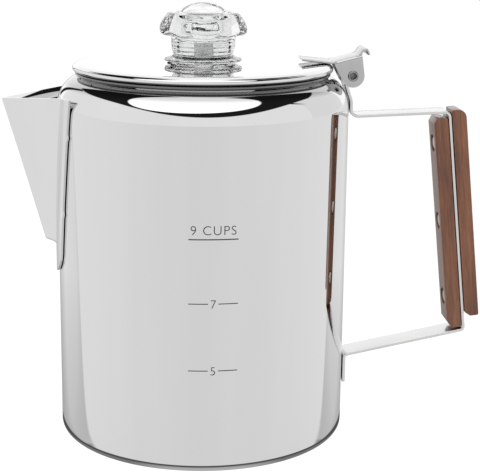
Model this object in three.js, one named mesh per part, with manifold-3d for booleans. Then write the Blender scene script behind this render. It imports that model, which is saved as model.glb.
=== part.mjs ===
// Stove-top coffee percolator: a stainless pot with a folded pouring spout, a strap handle with two
// wooden grips, a hinged lid with a glass knob, and the pump tube and coffee basket that stand inside.
// Millimetres, +Z up. The origin is on the pot's axis, in the plane of its base.
// The handle points along +X and the spout along -X.
import * as THREE from 'three';
import { mergeVertices } from 'three/addons/utils/BufferGeometryUtils.js';
import Module from 'manifold-3d';

const wasm = await Module();
wasm.setup();

// ---------------------------------------------------------------- driving dimensions
const GAP = 0.35;                 // clearance kept between neighbouring pieces

// pot
const POT_R = 65;                 // outside radius of the straight wall
const POT_WALL = 0.9;             // sheet thickness
const BASE_CORNER_R = 4.2;        // outside radius where wall meets base
const SHOULDER_Z = 148.5;         // height where the shoulder starts to curve in
const SHOULDER_A = 10.5;          // radial half axis of the shoulder's quarter ellipse
const SHOULDER_B = 14;            // vertical half axis
const NECK_R = 55.6;              // outside radius of the short neck
const RIM_BEAD = { r: 55.9, z: 164.1, radius: 0.75, start: -Math.PI / 3, end: Math.PI * 0.75 };
const POUR_HOLE = { r: 1.6, pitch: 6.5, rows: 6, lowestZ: 113, margin: 4 };

// spout
const SPOUT_SHEET = 0.9;
const SPOUT_BACK_R = POT_R + GAP; // radius of the flange's inner face
const SPOUT_TIP = { x: 89.1, z: 152.6 };
const SPOUT_HEEL = { x: 70.8, z: 88 };
const SPOUT_BOTTOM_Z = 74.5;      // lowest point of the flange
const SPOUT_TOP_Z = 155;          // top edge where it meets the pot
const SPOUT_FOLD = 1.1;           // half width of the rounded fold along the keel
const FOLD_BACK = 0.6;            // how far the fold's edges lie behind its middle
const FOLD_TIGHTEN = 0.35;        // how much narrower the fold is inside the sheet
const WALL_ROOT_X = 62;           // where the side walls' slope is measured from
const WALL_DRAFT = 0.95;          // share of the slope that thins the fold's inner face
const SPOUT_MOUTH = 22.9;         // half width between the flange bends at the top
const SPOUT_FOOT = 5.2;           // half width between the bends at the heel
const FLANGE_TOP = 31.8;          // half width of the flange at the top
const FLANGE_HEEL = 19.5;         // half width of the flange at the heel

// handle
const STRAP_T = 1.4;
const STRAP_W = 12.7;
const HINGE = { x: 66.2, z: 163.2 };
const STRAP_X = POT_R + GAP + STRAP_T / 2;      // centreline where the strap lies on the pot
const GRIP_RUN = { topX: 110.8, topZ: 146.8, bottomX: 122, bottomZ: 44.6 };
const STRAP_END_Z = 19.9;
const CURL_START = -Math.PI * 0.3;              // where the curl round the hinge pin begins
// Corners of the strap's centreline: height and bend radius.
const STRAP_CORNER = {
  neck: { z: 159.5, r: 6 },
  landing: { z: 151.8, r: 8 },
  upperArm: { z: 144.9, r: 3.2 },
  runTop: { r: 2.4 },
  runBottom: { r: 1.8 },
  lowerArm: { z: 33, r: 2 },
};
const GRIP_T = 6.4;
const GRIP_W = 13;
const GRIP_EDGE = 0.8;            // size of the eased edges
// Heights of the grips' corners, measured along the run of the strap.
const INNER_GRIP = {
  top: 143.9, brow: 144.7, shoulder: 142.2, heel: 49.4, toe: 46.4, bottom: 46.3, chamfer: 1.8,
};
const OUTER_GRIP = { top: 147.6, bottom: 51, cornerR: 4, chamfer: 2.4, chamferRise: 2 };
const RIVET_Z = [132.7, 96.4, 60.2];
const RIVET = { shank: 1.6, head: 3.4, headT: 0.9, sink: 4, sinkDepth: 1.4 };
const RIVET_CROWN = { r: 0.6, rise: 0.85, edge: 0.3 };   // shares of the head's radius and height

// lid
const LID_T = 0.8;
const LID_BEAD = { r: 56.55, z: 166.35, radius: 1.25 };
const LID_MIDDLE = { r: 17, z: 168 };            // the slightly dished middle of the lid's top
const LID_CREST = { r: 51, z: 168.5 };          // the highest ring, just inside the rolled edge
const LID_FALL = { r: 55.2, drop: 0.05, edgeR: 54.9, edgeZ: 167.3 };
const LID_BEAD_END = Math.PI * 2.45;
const BOSS = { r: 14.3, flareR: 15.6, topZ: 168.85 };   // the collar drawn up round the knob's hole
const KNOB_HOLE_R = 13.4;
const SKIRT = { r: 54.1, t: 0.8, bottomZ: 157.5, topZ: 166.8, seat: 50.5 };
const BRACKET_T = 0.9;
const BRACKET_W = 15.3;
const TAB = { x: 43.4, z: 170.3 };              // inner end of the tab, raised a little off the lid
const CREASE = { x: 56.6, z: 168.9, r: 1.5 };
const BRIDGE_END = { x: 68.9, z: 172.1, r: 2 };
const LIFT_TOP = { x: 71.7, z: 176.3, r: 1.3 };
const LIFT_END = { x: 73.3, z: 172.6 };
const EAR = { r: 5.1, frontAngle: 0.35, backAngle: 0.2 };
const EAR_TOP = [{ x: 69.2, z: 172.2 }, { x: 58.4, z: 169.1 }];
const PIN = { r: 1.75, bore: 1.2, head: 2.35, headT: 0.5, chamfer: 0.3 };
const PIN_HOLE_R = 2.1;

// glass knob
const KNOB_LUGS = 3;
const LUG = { r: 15.4, width: 5.5, bottomZ: 164.4, topZ: 166.75 };
const NOTCH = { r: 15.9, width: 8, bottomZ: 166, topZ: 172 };
const KNOB_BORE_R = 10.9;
const KNOB_FOOT = { r: 13, bottomZ: 161 };
const KNOB_FLANGE = { r: 17.2, bottomZ: 169.2, topZ: 170.6 };
// Radius and height of the waist, from the flange up to the head.
const KNOB_WAIST = [[13.6, 170.9], [13.5, 172.2], [14, 176.5], [14.2, 179.4]];
// Radius and height of the head's side, from its underside up to its top edge.
const KNOB_SIDE = [[15.4, 180.3], [18.2, 181], [19.4, 182.3], [19.3, 184.3], [18.2, 187], [16.3, 189.7]];
const KNOB_HEAD = { bottomZ: 180.5, topZ: 190.2, petalR: 16, shelfR: 11.4, shelfZ: 190.8 };
const KNOB_CROWN = { r: 6, z: 195.2, peakZ: 195.3 };
const KNOB_HOLLOW = { peakZ: 189.4, r: 8.5, z: 189, wallR: 10.3, wallZ: 184.5, boreZ: 180 };
const KNOB_PETALS = 10;
const PETAL_DEPTH = 0.25;
const LUG_BITE = 0.6;             // how far a lug's root stops short of the bore

// pump and basket
const TUBE_R = 4.8;
const TUBE_WALL = 0.6;
const TUBE_BOTTOM_Z = 10.5;
const TUBE_TOP_Z = 178;
const FOOT_R = 31;
const FOOT_T = 0.8;
const FOOT_WAIST = { share: 0.6, z: 8.2, underZ: 7.4 };   // where the bell turns into its collar
const FOOT_COLLAR = { baseZ: 14, topZ: 20, flare: 1, bendZ: 9.2 };
const FOOT_UNDERSIDE = { baseZ: 9.4, flare: 2.5, bendZ: 8 };
const FOOT_EDGE = { inset: 1.5, z: 7.2, underInset: 2.6, underZ: 6.4 };
const FOOT_NOTCH = { count: 4, length: 8, width: 9, height: 3.2 };
const STOP_RING = { r: 8.6, bottomZ: 102.8, topZ: 105.4 };
const BASKET = { r: 47.5, t: 0.8, bottomZ: 107, topZ: 145.2, cornerR: 3 };
const BASKET_RIM = { out: 1.2, below: 0.2, above: 0.9 };
const SLEEVE = { inner: 5.3, outer: 6, topZ: 141, flangeR: 8.6, flangeT: 0.8 };
const SPREADER = { z: 147, r: 49.9, t: 0.8, lipZ: 143.6, hole: 6.9, collar: 1.6 };
const SIEVE_HOLE_R = 1.3;
// Rings of sieve holes: radius and count.
const BASKET_SIEVE = [[15, 6], [26, 8], [37, 10]];
const SPREADER_SIEVE = [[14, 6], [25, 8], [36, 10]];

const LATHE_STEPS = 48;          // facets round the pot and lid
const SMALL_STEPS = 32;          // facets round the pieces inside
const KNOB_STEPS = 40;           // facets round the knob, a whole number to each petal
const TUBE_STEPS = 20;
const SLEEVE_STEPS = 24;
const PIN_STEPS = 16;
const RIVET_STEPS = 12;
const SEAT_STEPS = 14;

// ---------------------------------------------------------------- materials
function finish(color, roughness, metalness, extra = {}) {
  return new THREE.MeshStandardMaterial({ color, roughness, metalness, ...extra });
}
const mirrorSteel = () => finish(0xd9dadb, 0.08, 1);
const innerSteel = () => finish(0xc4c6c8, 0.3, 1);
const wood = () => finish(0x7d4a30, 0.45, 0);
const rivetSteel = () => finish(0xc9b9a6, 0.3, 1);
const knobGlass = () => finish(0xe9edee, 0.05, 0, { transparent: true, opacity: 0.4 });

// ---------------------------------------------------------------- helpers
function toManifold(geometry) {
  const bare = geometry.clone();
  bare.deleteAttribute('normal');
  bare.deleteAttribute('uv');
  const merged = mergeVertices(bare, 1e-4);
  const vertProperties = Float32Array.from(merged.attributes.position.array);
  const triVerts = Uint32Array.from(merged.index.array);
  return new wasm.Manifold(new wasm.Mesh({ numProp: 3, vertProperties, triVerts }));
}

function toGeometry(manifold) {
  const mesh = manifold.getMesh();
  const geometry = new THREE.BufferGeometry();
  geometry.setAttribute('position', new THREE.BufferAttribute(mesh.vertProperties, 3));
  geometry.setIndex(new THREE.BufferAttribute(mesh.triVerts, 1));
  geometry.computeVertexNormals();
  return geometry;
}

function cut(geometry, tools) {
  let result = toManifold(geometry);
  for (const tool of tools) {
    result = result.subtract(toManifold(tool));
  }
  return toGeometry(result);
}

function join(geometries) {
  let result = toManifold(geometries[0]);
  for (const other of geometries.slice(1)) {
    result = result.add(toManifold(other));
  }
  return toGeometry(result);
}

// Turns an outline of (radius, height) points round the Z axis.
function turned(points, steps) {
  const clockwise = THREE.ShapeUtils.area(points) < 0;
  const outline = clockwise ? [...points].reverse() : [...points];
  const onAxis = outline.findIndex((p, i) => {
    const previous = outline[(i + outline.length - 1) % outline.length];
    return p.x < 1e-9 && previous.x < 1e-9;
  });
  if (onAxis >= 0) {
    const ordered = [...outline.slice(onAxis), ...outline.slice(0, onAxis)];
    return new THREE.LatheGeometry(ordered, steps).rotateX(Math.PI / 2);
  }
  return new THREE.LatheGeometry([...outline, outline[0]], steps).rotateX(Math.PI / 2);
}

function tidyPoints(path, divisions) {
  const points = path.getPoints(divisions);
  return points.filter((p, i) => i === 0 || p.distanceTo(points[i - 1]) > 1e-3);
}

// A ring with a plain rectangular section.
function ring(inner, outer, bottom, top, steps) {
  const corners = [[inner, bottom], [outer, bottom], [outer, top], [inner, top]];
  return turned(corners.map(([r, z]) => new THREE.Vector2(r, z)), steps);
}

// A shape drawn in the XZ plane, extruded symmetrically along Y.
function plate(shape, width, options = {}) {
  const edge = options.edge ?? 0;
  const geometry = new THREE.ExtrudeGeometry(shape, {
    depth: width - 2 * edge,
    curveSegments: options.curveSegments ?? 6,
    bevelEnabled: edge > 0,
    bevelSize: edge,
    bevelThickness: edge,
    bevelOffset: -edge,
    bevelSegments: 1,
  });
  return geometry.translate(0, 0, edge - width / 2).rotateX(Math.PI / 2);
}

// A path through corners [x, z, radius], with each corner rounded to its radius.
function filletPath(path, corners) {
  for (let i = 1; i < corners.length - 1; i += 1) {
    const here = new THREE.Vector2(corners[i][0], corners[i][1]);
    const into = new THREE.Vector2(corners[i - 1][0], corners[i - 1][1]).sub(here).normalize();
    const away = new THREE.Vector2(corners[i + 1][0], corners[i + 1][1]).sub(here).normalize();
    const half = Math.acos(into.dot(away)) / 2;
    const radius = corners[i][2];
    const start = here.clone().addScaledVector(into, radius / Math.tan(half));
    const end = here.clone().addScaledVector(away, radius / Math.tan(half));
    const bisector = into.clone().add(away).normalize();
    const centre = here.clone().addScaledVector(bisector, radius / Math.sin(half));
    const turnsLeft = into.cross(away) < 0;
    path.lineTo(start.x, start.y);
    path.absarc(centre.x, centre.y, radius, start.clone().sub(centre).angle(),
      end.clone().sub(centre).angle(), !turnsLeft);
  }
  const last = corners[corners.length - 1];
  path.lineTo(last[0], last[1]);
  return path;
}

// The outline of a strip of constant thickness that follows a path.
function stripShape(path, thickness, divisions) {
  const points = tidyPoints(path, divisions);
  const left = [];
  const right = [];
  points.forEach((p, i) => {
    const before = points[Math.max(i - 1, 0)];
    const after = points[Math.min(i + 1, points.length - 1)];
    const first = (i === 0 ? after.clone().sub(p) : p.clone().sub(before)).normalize();
    const second = (i === points.length - 1 ? first.clone() : after.clone().sub(p).normalize());
    const mean = first.clone().add(second).normalize();
    const reach = thickness / 2 / Math.max(mean.dot(first), 0.5);
    const normal = new THREE.Vector2(-mean.y, mean.x).multiplyScalar(reach);
    left.push(p.clone().add(normal));
    right.push(p.clone().sub(normal));
  });
  return new THREE.Shape([...left, ...right.reverse()]);
}

// A skin over rings of points that all have the same count, closed at both ends.
function loft(rings) {
  const count = rings[0].length;
  const positions = rings.flat().flatMap((p) => [p.x, p.y, p.z]);
  const indices = [];
  for (let k = 0; k < rings.length - 1; k += 1) {
    for (let i = 0; i < count; i += 1) {
      const next = (i + 1) % count;
      const a = k * count + i;
      const b = k * count + next;
      indices.push(a, b, b + count, a, b + count, a + count);
    }
  }
  const outline = rings[0].map((p) => new THREE.Vector2(p.x, p.y));
  const outlineTop = rings[rings.length - 1].map((p) => new THREE.Vector2(p.x, p.y));
  const topStart = (rings.length - 1) * count;
  for (const [a, b, c] of THREE.ShapeUtils.triangulateShape(outline, [])) {
    indices.push(a, c, b);
  }
  for (const [a, b, c] of THREE.ShapeUtils.triangulateShape(outlineTop, [])) {
    indices.push(topStart + a, topStart + b, topStart + c);
  }
  const geometry = new THREE.BufferGeometry();
  geometry.setAttribute('position', new THREE.Float32BufferAttribute(positions, 3));
  geometry.setIndex(indices);
  geometry.computeVertexNormals();
  return geometry;
}

// A round tool along Z, for drilling.
function drill(radius, x, y, bottom, top, sides = 8) {
  const geometry = new THREE.CylinderGeometry(radius, radius, top - bottom, sides);
  return geometry.rotateX(Math.PI / 2).translate(x, y, (top + bottom) / 2);
}

function boxTool(x, y, z, cx, cy, cz) {
  return new THREE.BoxGeometry(x, y, z).translate(cx, cy, cz);
}

function mix(a, b, t) {
  return a + (b - a) * t;
}

const percolator = new THREE.Group();
function add(name, geometry, material) {
  const mesh = new THREE.Mesh(geometry, material);
  mesh.name = name;
  percolator.add(mesh);
  return mesh;
}

// ---------------------------------------------------------------- pot
// Half width of the spout between its flange bends, at a height.
function spoutHalfWidth(z) {
  return mix(SPOUT_FOOT, SPOUT_MOUTH, (z - SPOUT_HEEL.z) / (SPOUT_TOP_Z - SPOUT_HEEL.z));
}

function potOutline() {
  const centreR = POT_R - SHOULDER_A;
  const neckAngle = Math.acos((NECK_R - centreR) / SHOULDER_A);
  const innerA = SHOULDER_A - POT_WALL;
  const innerB = SHOULDER_B - POT_WALL;
  const innerNeck = NECK_R - POT_WALL;
  const innerAngle = Math.acos((innerNeck - centreR) / innerA);
  const cornerR = POT_R - BASE_CORNER_R;
  const path = new THREE.Path();
  path.moveTo(0, 0);
  path.lineTo(cornerR, 0);
  path.absarc(cornerR, BASE_CORNER_R, BASE_CORNER_R, -Math.PI / 2, 0, false);
  path.lineTo(POT_R, SHOULDER_Z);
  path.absellipse(centreR, SHOULDER_Z, SHOULDER_A, SHOULDER_B, 0, neckAngle, false);
  path.absarc(RIM_BEAD.r, RIM_BEAD.z, RIM_BEAD.radius, RIM_BEAD.start, RIM_BEAD.end, false);
  path.lineTo(innerNeck, RIM_BEAD.z);
  path.absellipse(centreR, SHOULDER_Z, innerA, innerB, innerAngle, 0, true);
  path.lineTo(POT_R - POT_WALL, BASE_CORNER_R);
  path.absarc(cornerR, BASE_CORNER_R, BASE_CORNER_R - POT_WALL, 0, -Math.PI / 2, true);
  path.lineTo(0, POT_WALL);
  return tidyPoints(path, 2);
}

// Pouring holes through the pot wall, in staggered rows that stay between the spout's sides.
function pouringHoles() {
  const { r, pitch, rows, lowestZ, margin } = POUR_HOLE;
  const reach = 7;
  const columns = 4;
  const tools = [];
  for (let row = 0; row < rows; row += 1) {
    const z = lowestZ + row * pitch;
    const room = spoutHalfWidth(z) - margin;
    const shift = (row % 2) * pitch / 2;
    for (let y = shift - pitch * columns; y <= room; y += pitch) {
      if (Math.abs(y) <= room) {
        const tool = new THREE.CylinderGeometry(r, r, 2 * reach, 6);
        tools.push(tool.rotateZ(Math.PI / 2).translate(1 - POT_R, y, z));
      }
    }
  }
  return tools;
}

add('body_shell', cut(turned(potOutline(), LATHE_STEPS), pouringHoles()), mirrorSteel());

// ---------------------------------------------------------------- spout
// Distance of the keel's outer face from the pot's axis, at a height.
function keelX(z) {
  return mix(SPOUT_HEEL.x, SPOUT_TIP.x, (z - SPOUT_HEEL.z) / (SPOUT_TIP.z - SPOUT_HEEL.z));
}

function flangeHalfWidth(z) {
  const belowHeel = (z - SPOUT_BOTTOM_Z) / (SPOUT_HEEL.z - SPOUT_BOTTOM_Z);
  if (belowHeel < 1) {
    const bluntEnd = 0.02;
    return FLANGE_HEEL * Math.sqrt(Math.max(1 - (1 - belowHeel) ** 2, bluntEnd));
  }
  return mix(FLANGE_HEEL, FLANGE_TOP, (z - SPOUT_HEEL.z) / (SPOUT_TOP_Z - SPOUT_HEEL.z));
}

// Half of the section of the folded sheet at a height, from the flange's edge to the keel, for one face
// of the sheet. The channel opens between heel and tip, and below the heel only the flange is left.
function spoutHalf(z, inset, channel) {
  const flangeSteps = 4;
  const narrowestBend = 0.8;
  const narrowestFlange = 0.6;
  const backR = SPOUT_BACK_R + SPOUT_SHEET - inset;
  const openY = spoutHalfWidth(Math.max(z, SPOUT_HEEL.z)) - inset * channel / 2;
  const bendY = Math.max(openY, narrowestBend);
  const edgeY = flangeHalfWidth(z);
  const firstY = Math.min(bendY, edgeY - narrowestFlange);
  const points = [];
  for (let i = 0; i <= flangeSteps; i += 1) {
    const y = mix(edgeY, firstY, i / flangeSteps);
    points.push(new THREE.Vector2(Math.sqrt(backR ** 2 - y ** 2), y));
  }
  const wallSlope = (keelX(z) - WALL_ROOT_X) / bendY;
  const foldX = keelX(z) - inset * Math.max(wallSlope, 1) * WALL_DRAFT;
  const foldY = SPOUT_FOLD * (1 - FOLD_TIGHTEN * inset);
  const flatX = (y) => Math.sqrt(backR ** 2 - y ** 2);
  points.push(new THREE.Vector2(mix(flatX(foldY), foldX - FOLD_BACK, channel), foldY));
  points.push(new THREE.Vector2(mix(flatX(foldY / 2), foldX, channel), foldY / 2));
  return points;
}

function spoutSection(z, channel) {
  const outer = spoutHalf(z, 0, channel);
  const inner = spoutHalf(z, SPOUT_SHEET, channel);
  const mirror = (points) => points.map((p) => new THREE.Vector2(p.x, -p.y)).reverse();
  const outline = [...outer, ...mirror(outer), ...[...inner, ...mirror(inner)].reverse()];
  return outline.map((p) => new THREE.Vector3(-p.x, p.y, z));
}

function spoutGeometry() {
  const rings = [];
  const lowSteps = 3;
  const highSteps = 8;
  const heel = { below: 1.2, middle: 0.5, above: 0.6, opening: 0.55 };
  for (let i = 0; i <= lowSteps; i += 1) {
    rings.push(spoutSection(mix(SPOUT_BOTTOM_Z, SPOUT_HEEL.z - heel.below, i / lowSteps), 0));
  }
  rings.push(spoutSection(SPOUT_HEEL.z - heel.middle, heel.opening));
  for (let i = 0; i <= highSteps; i += 1) {
    rings.push(spoutSection(mix(SPOUT_HEEL.z + heel.above, SPOUT_TIP.z, i / highSteps), 1));
  }
  const lip = rings[rings.length - 1];
  const riseTowardsPot = (SPOUT_TOP_Z - SPOUT_TIP.z) / (SPOUT_TIP.x - POT_R);
  for (const p of lip) {
    p.z += (SPOUT_TIP.x + p.x) * riseTowardsPot;
  }
  return loft(rings);
}

add('spout', spoutGeometry(), mirrorSteel());

// ---------------------------------------------------------------- handle
const runDirection = new THREE.Vector2(GRIP_RUN.bottomX - GRIP_RUN.topX,
  GRIP_RUN.bottomZ - GRIP_RUN.topZ).normalize();
const runNormal = new THREE.Vector2(-runDirection.y, runDirection.x);

// A point beside the upright run of the strap: height z on its centreline, then out along its normal.
function besideRun(z, offset) {
  const t = (GRIP_RUN.topZ - z) / -runDirection.y;
  return new THREE.Vector2(GRIP_RUN.topX, GRIP_RUN.topZ)
    .addScaledVector(runDirection, t)
    .addScaledVector(runNormal, offset);
}

// A round tool square to the run, between two offsets from its centreline.
function acrossRun(z, radius, from, to, sides) {
  const geometry = new THREE.CylinderGeometry(radius, radius, to - from, sides);
  const centre = besideRun(z, (from + to) / 2);
  const tilt = Math.atan2(runNormal.y, runNormal.x);
  return geometry.rotateZ(-Math.PI / 2).rotateY(-tilt).translate(centre.x, 0, centre.y);
}

function strapGeometry() {
  const curlR = PIN_HOLE_R + STRAP_T / 2;
  const { neck, landing, upperArm, runTop, runBottom, lowerArm } = STRAP_CORNER;
  const path = new THREE.Path();
  path.moveTo(HINGE.x + curlR * Math.cos(CURL_START), HINGE.z + curlR * Math.sin(CURL_START));
  path.absarc(HINGE.x, HINGE.z, curlR, CURL_START, Math.PI, false);
  filletPath(path, [
    [HINGE.x - curlR, HINGE.z, 0],
    [HINGE.x - curlR, neck.z, neck.r],
    [STRAP_X, landing.z, landing.r],
    [STRAP_X, upperArm.z, upperArm.r],
    [GRIP_RUN.topX, GRIP_RUN.topZ, runTop.r],
    [GRIP_RUN.bottomX, GRIP_RUN.bottomZ, runBottom.r],
    [STRAP_X, lowerArm.z, lowerArm.r],
    [STRAP_X, STRAP_END_Z, 0],
  ]);
  const strap = plate(stripShape(path, STRAP_T, 4), STRAP_W);
  const through = 2 * STRAP_T;
  const holes = RIVET_Z.map((z) => acrossRun(z, RIVET.shank + GAP, -through, through, 8));
  return cut(strap, holes);
}
add('handle_strap', strapGeometry(), mirrorSteel());

const gripInner = STRAP_T / 2 + GAP;
const gripOuter = gripInner + GRIP_T;

// Clearance holes for the rivets, with a sunk seat for each head in the grip's outer face.
function rivetHoles(side) {
  return RIVET_Z.flatMap((z) => {
    const face = side * gripOuter;
    const near = side * (gripInner - 1);
    const seat = side * (gripOuter - RIVET.sinkDepth);
    const beyond = face + side;
    return [
      acrossRun(z, RIVET.shank + GAP, Math.min(near, beyond), Math.max(near, beyond), 8),
      acrossRun(z, RIVET.sink, Math.min(seat, beyond), Math.max(seat, beyond), SEAT_STEPS),
    ];
  });
}

function innerGripGeometry() {
  const { top, brow, shoulder, heel, toe, bottom, chamfer } = INNER_GRIP;
  const shape = new THREE.Shape([
    besideRun(top, -gripInner),
    besideRun(brow, -gripOuter + chamfer),
    besideRun(shoulder, -gripOuter),
    besideRun(heel, -gripOuter),
    besideRun(toe, -gripOuter + chamfer),
    besideRun(bottom, -gripInner),
  ]);
  return cut(plate(shape, GRIP_W, { edge: GRIP_EDGE }), rivetHoles(-1));
}
add('inner_grip', innerGripGeometry(), wood());

function outerGripGeometry() {
  const { top, bottom, cornerR, chamfer, chamferRise } = OUTER_GRIP;
  const tilt = Math.atan2(runNormal.y, runNormal.x);
  const low = besideRun(bottom + chamferRise, gripInner);
  const toe = besideRun(bottom, gripInner + chamfer);
  const heel = besideRun(bottom, gripOuter);
  const arcCentre = besideRun(top - cornerR, gripOuter - cornerR);
  const brow = besideRun(top, gripInner);
  const shape = new THREE.Shape();
  shape.moveTo(low.x, low.y);
  shape.lineTo(toe.x, toe.y);
  shape.lineTo(heel.x, heel.y);
  shape.absarc(arcCentre.x, arcCentre.y, cornerR, tilt, tilt + Math.PI / 2, false);
  shape.lineTo(brow.x, brow.y);
  return cut(plate(shape, GRIP_W, { edge: GRIP_EDGE, curveSegments: 5 }), rivetHoles(1));
}
add('outer_grip', outerGripGeometry(), wood());

// Domed rivets through both grips and the strap.
function rivetGeometry(z) {
  const seat = gripOuter - RIVET.sinkDepth + GAP;
  const { r, rise, edge } = RIVET_CROWN;
  const upperHalf = [
    [RIVET.shank, seat], [RIVET.head, seat], [RIVET.head, seat + RIVET.headT * edge],
    [RIVET.head * r, seat + RIVET.headT * rise], [0, seat + RIVET.headT],
  ];
  const lowerHalf = upperHalf.map(([radius, height]) => [radius, -height]).reverse();
  const outline = [...lowerHalf, ...upperHalf].map(([radius, height]) => new THREE.Vector2(radius, height));
  const centre = besideRun(z, 0);
  const tilt = Math.atan2(runNormal.y, runNormal.x);
  return turned(outline, RIVET_STEPS).rotateY(Math.PI / 2 - tilt).translate(centre.x, 0, centre.y);
}
['top', 'middle', 'bottom'].forEach((place, i) => {
  add(`grip_rivet_${place}`, rivetGeometry(RIVET_Z[i]), rivetSteel());
});

// ---------------------------------------------------------------- lid
function lidOutline() {
  const path = new THREE.Path();
  path.moveTo(KNOB_HOLE_R, LID_MIDDLE.z - LID_T);
  path.lineTo(LID_MIDDLE.r, LID_MIDDLE.z - LID_T);
  path.lineTo(LID_CREST.r, LID_CREST.z - LID_T);
  path.lineTo(LID_FALL.edgeR, LID_FALL.edgeZ);
  path.absarc(LID_BEAD.r, LID_BEAD.z, LID_BEAD.radius, Math.PI, LID_BEAD_END, false);
  path.quadraticCurveTo(LID_FALL.r, LID_CREST.z - LID_FALL.drop, LID_CREST.r, LID_CREST.z);
  path.lineTo(LID_MIDDLE.r, LID_MIDDLE.z);
  path.lineTo(BOSS.flareR, LID_MIDDLE.z);
  path.lineTo(BOSS.r, BOSS.topZ);
  path.lineTo(KNOB_HOLE_R, BOSS.topZ);
  return tidyPoints(path, 3);
}

// Passages in the edge of the lid's hole, half a lug pitch from where the lugs rest.
function lugNotches() {
  return Array.from({ length: KNOB_LUGS }, (_, i) => {
    const angle = ((i + 0.5) / KNOB_LUGS) * Math.PI * 2;
    const height = NOTCH.topZ - NOTCH.bottomZ;
    const middle = (NOTCH.topZ + NOTCH.bottomZ) / 2;
    return boxTool(NOTCH.r, NOTCH.width, height, NOTCH.r / 2, 0, middle).rotateZ(angle);
  });
}
add('lid_shell', cut(turned(lidOutline(), LATHE_STEPS), lugNotches()), mirrorSteel());

// The ring under the lid that drops into the neck, with a seat flange at its top.
function skirtOutline() {
  const inner = SKIRT.r - SKIRT.t;
  return [
    [inner, SKIRT.bottomZ], [SKIRT.r, SKIRT.bottomZ], [SKIRT.r, SKIRT.topZ],
    [SKIRT.seat, SKIRT.topZ], [SKIRT.seat, SKIRT.topZ - SKIRT.t], [inner, SKIRT.topZ - SKIRT.t],
  ].map(([r, z]) => new THREE.Vector2(r, z));
}
add('lid_skirt_ring', turned(skirtOutline(), LATHE_STEPS), mirrorSteel());

// The bent plate that joins lid to handle: tab on the lid, rising bridge, thumb lift and two ears.
function bracketGeometry() {
  const path = new THREE.Path();
  path.moveTo(TAB.x, TAB.z);
  filletPath(path, [
    [TAB.x, TAB.z, 0],
    [CREASE.x, CREASE.z, CREASE.r],
    [BRIDGE_END.x, BRIDGE_END.z, BRIDGE_END.r],
    [LIFT_TOP.x, LIFT_TOP.z, LIFT_TOP.r],
    [LIFT_END.x, LIFT_END.z, 0],
  ]);
  const sheet = plate(stripShape(path, BRACKET_T, 3), BRACKET_W);
  const ears = [-1, 1].map((side) => {
    const start = Math.PI + EAR.frontAngle;
    const shape = new THREE.Shape();
    shape.moveTo(EAR_TOP[0].x, EAR_TOP[0].z);
    shape.lineTo(EAR_TOP[1].x, EAR_TOP[1].z);
    shape.lineTo(HINGE.x + EAR.r * Math.cos(start), HINGE.z + EAR.r * Math.sin(start));
    shape.absarc(HINGE.x, HINGE.z, EAR.r, start, Math.PI * 2 + EAR.backAngle, false);
    const hole = new THREE.Path();
    hole.absarc(HINGE.x, HINGE.z, PIN_HOLE_R, 0, Math.PI * 2, true);
    shape.holes.push(hole);
    const ear = plate(shape, BRACKET_T, { curveSegments: 12 });
    return ear.translate(0, side * (BRACKET_W - BRACKET_T) / 2, 0);
  });
  return join([sheet, ...ears]);
}
add('hinge_bracket', bracketGeometry(), mirrorSteel());

// The hollow rivet that the lid turns on, flared outside both ears.
function pinGeometry() {
  const headIn = BRACKET_W / 2 + GAP;
  const headOut = headIn + PIN.headT;
  const faceR = PIN.head - PIN.chamfer;
  const outline = [
    [PIN.bore, -headOut], [faceR, -headOut], [PIN.head, -headIn], [PIN.r, -headIn],
    [PIN.r, headIn], [PIN.head, headIn], [faceR, headOut], [PIN.bore, headOut],
  ].map(([r, z]) => new THREE.Vector2(r, z));
  return turned(outline, PIN_STEPS).rotateX(Math.PI / 2).translate(HINGE.x, 0, HINGE.z);
}
add('hinge_pin', pinGeometry(), mirrorSteel());

// ---------------------------------------------------------------- glass knob
function knobOutline() {
  const path = new THREE.Path();
  path.moveTo(KNOB_BORE_R, KNOB_FOOT.bottomZ);
  path.lineTo(KNOB_FOOT.r, KNOB_FOOT.bottomZ);
  path.lineTo(KNOB_FOOT.r, KNOB_FLANGE.bottomZ);
  path.lineTo(KNOB_FLANGE.r, KNOB_FLANGE.bottomZ);
  path.lineTo(KNOB_FLANGE.r, KNOB_FLANGE.topZ);
  for (const [r, z] of [...KNOB_WAIST, ...KNOB_SIDE]) {
    path.lineTo(r, z);
  }
  path.lineTo(KNOB_HEAD.shelfR, KNOB_HEAD.shelfZ);
  path.quadraticCurveTo(KNOB_CROWN.r, KNOB_CROWN.z, 0, KNOB_CROWN.peakZ);
  path.lineTo(0, KNOB_HOLLOW.peakZ);
  path.quadraticCurveTo(KNOB_HOLLOW.r, KNOB_HOLLOW.z, KNOB_HOLLOW.wallR, KNOB_HOLLOW.wallZ);
  path.lineTo(KNOB_BORE_R, KNOB_HOLLOW.boreZ);
  return tidyPoints(path, 2);
}

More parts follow.
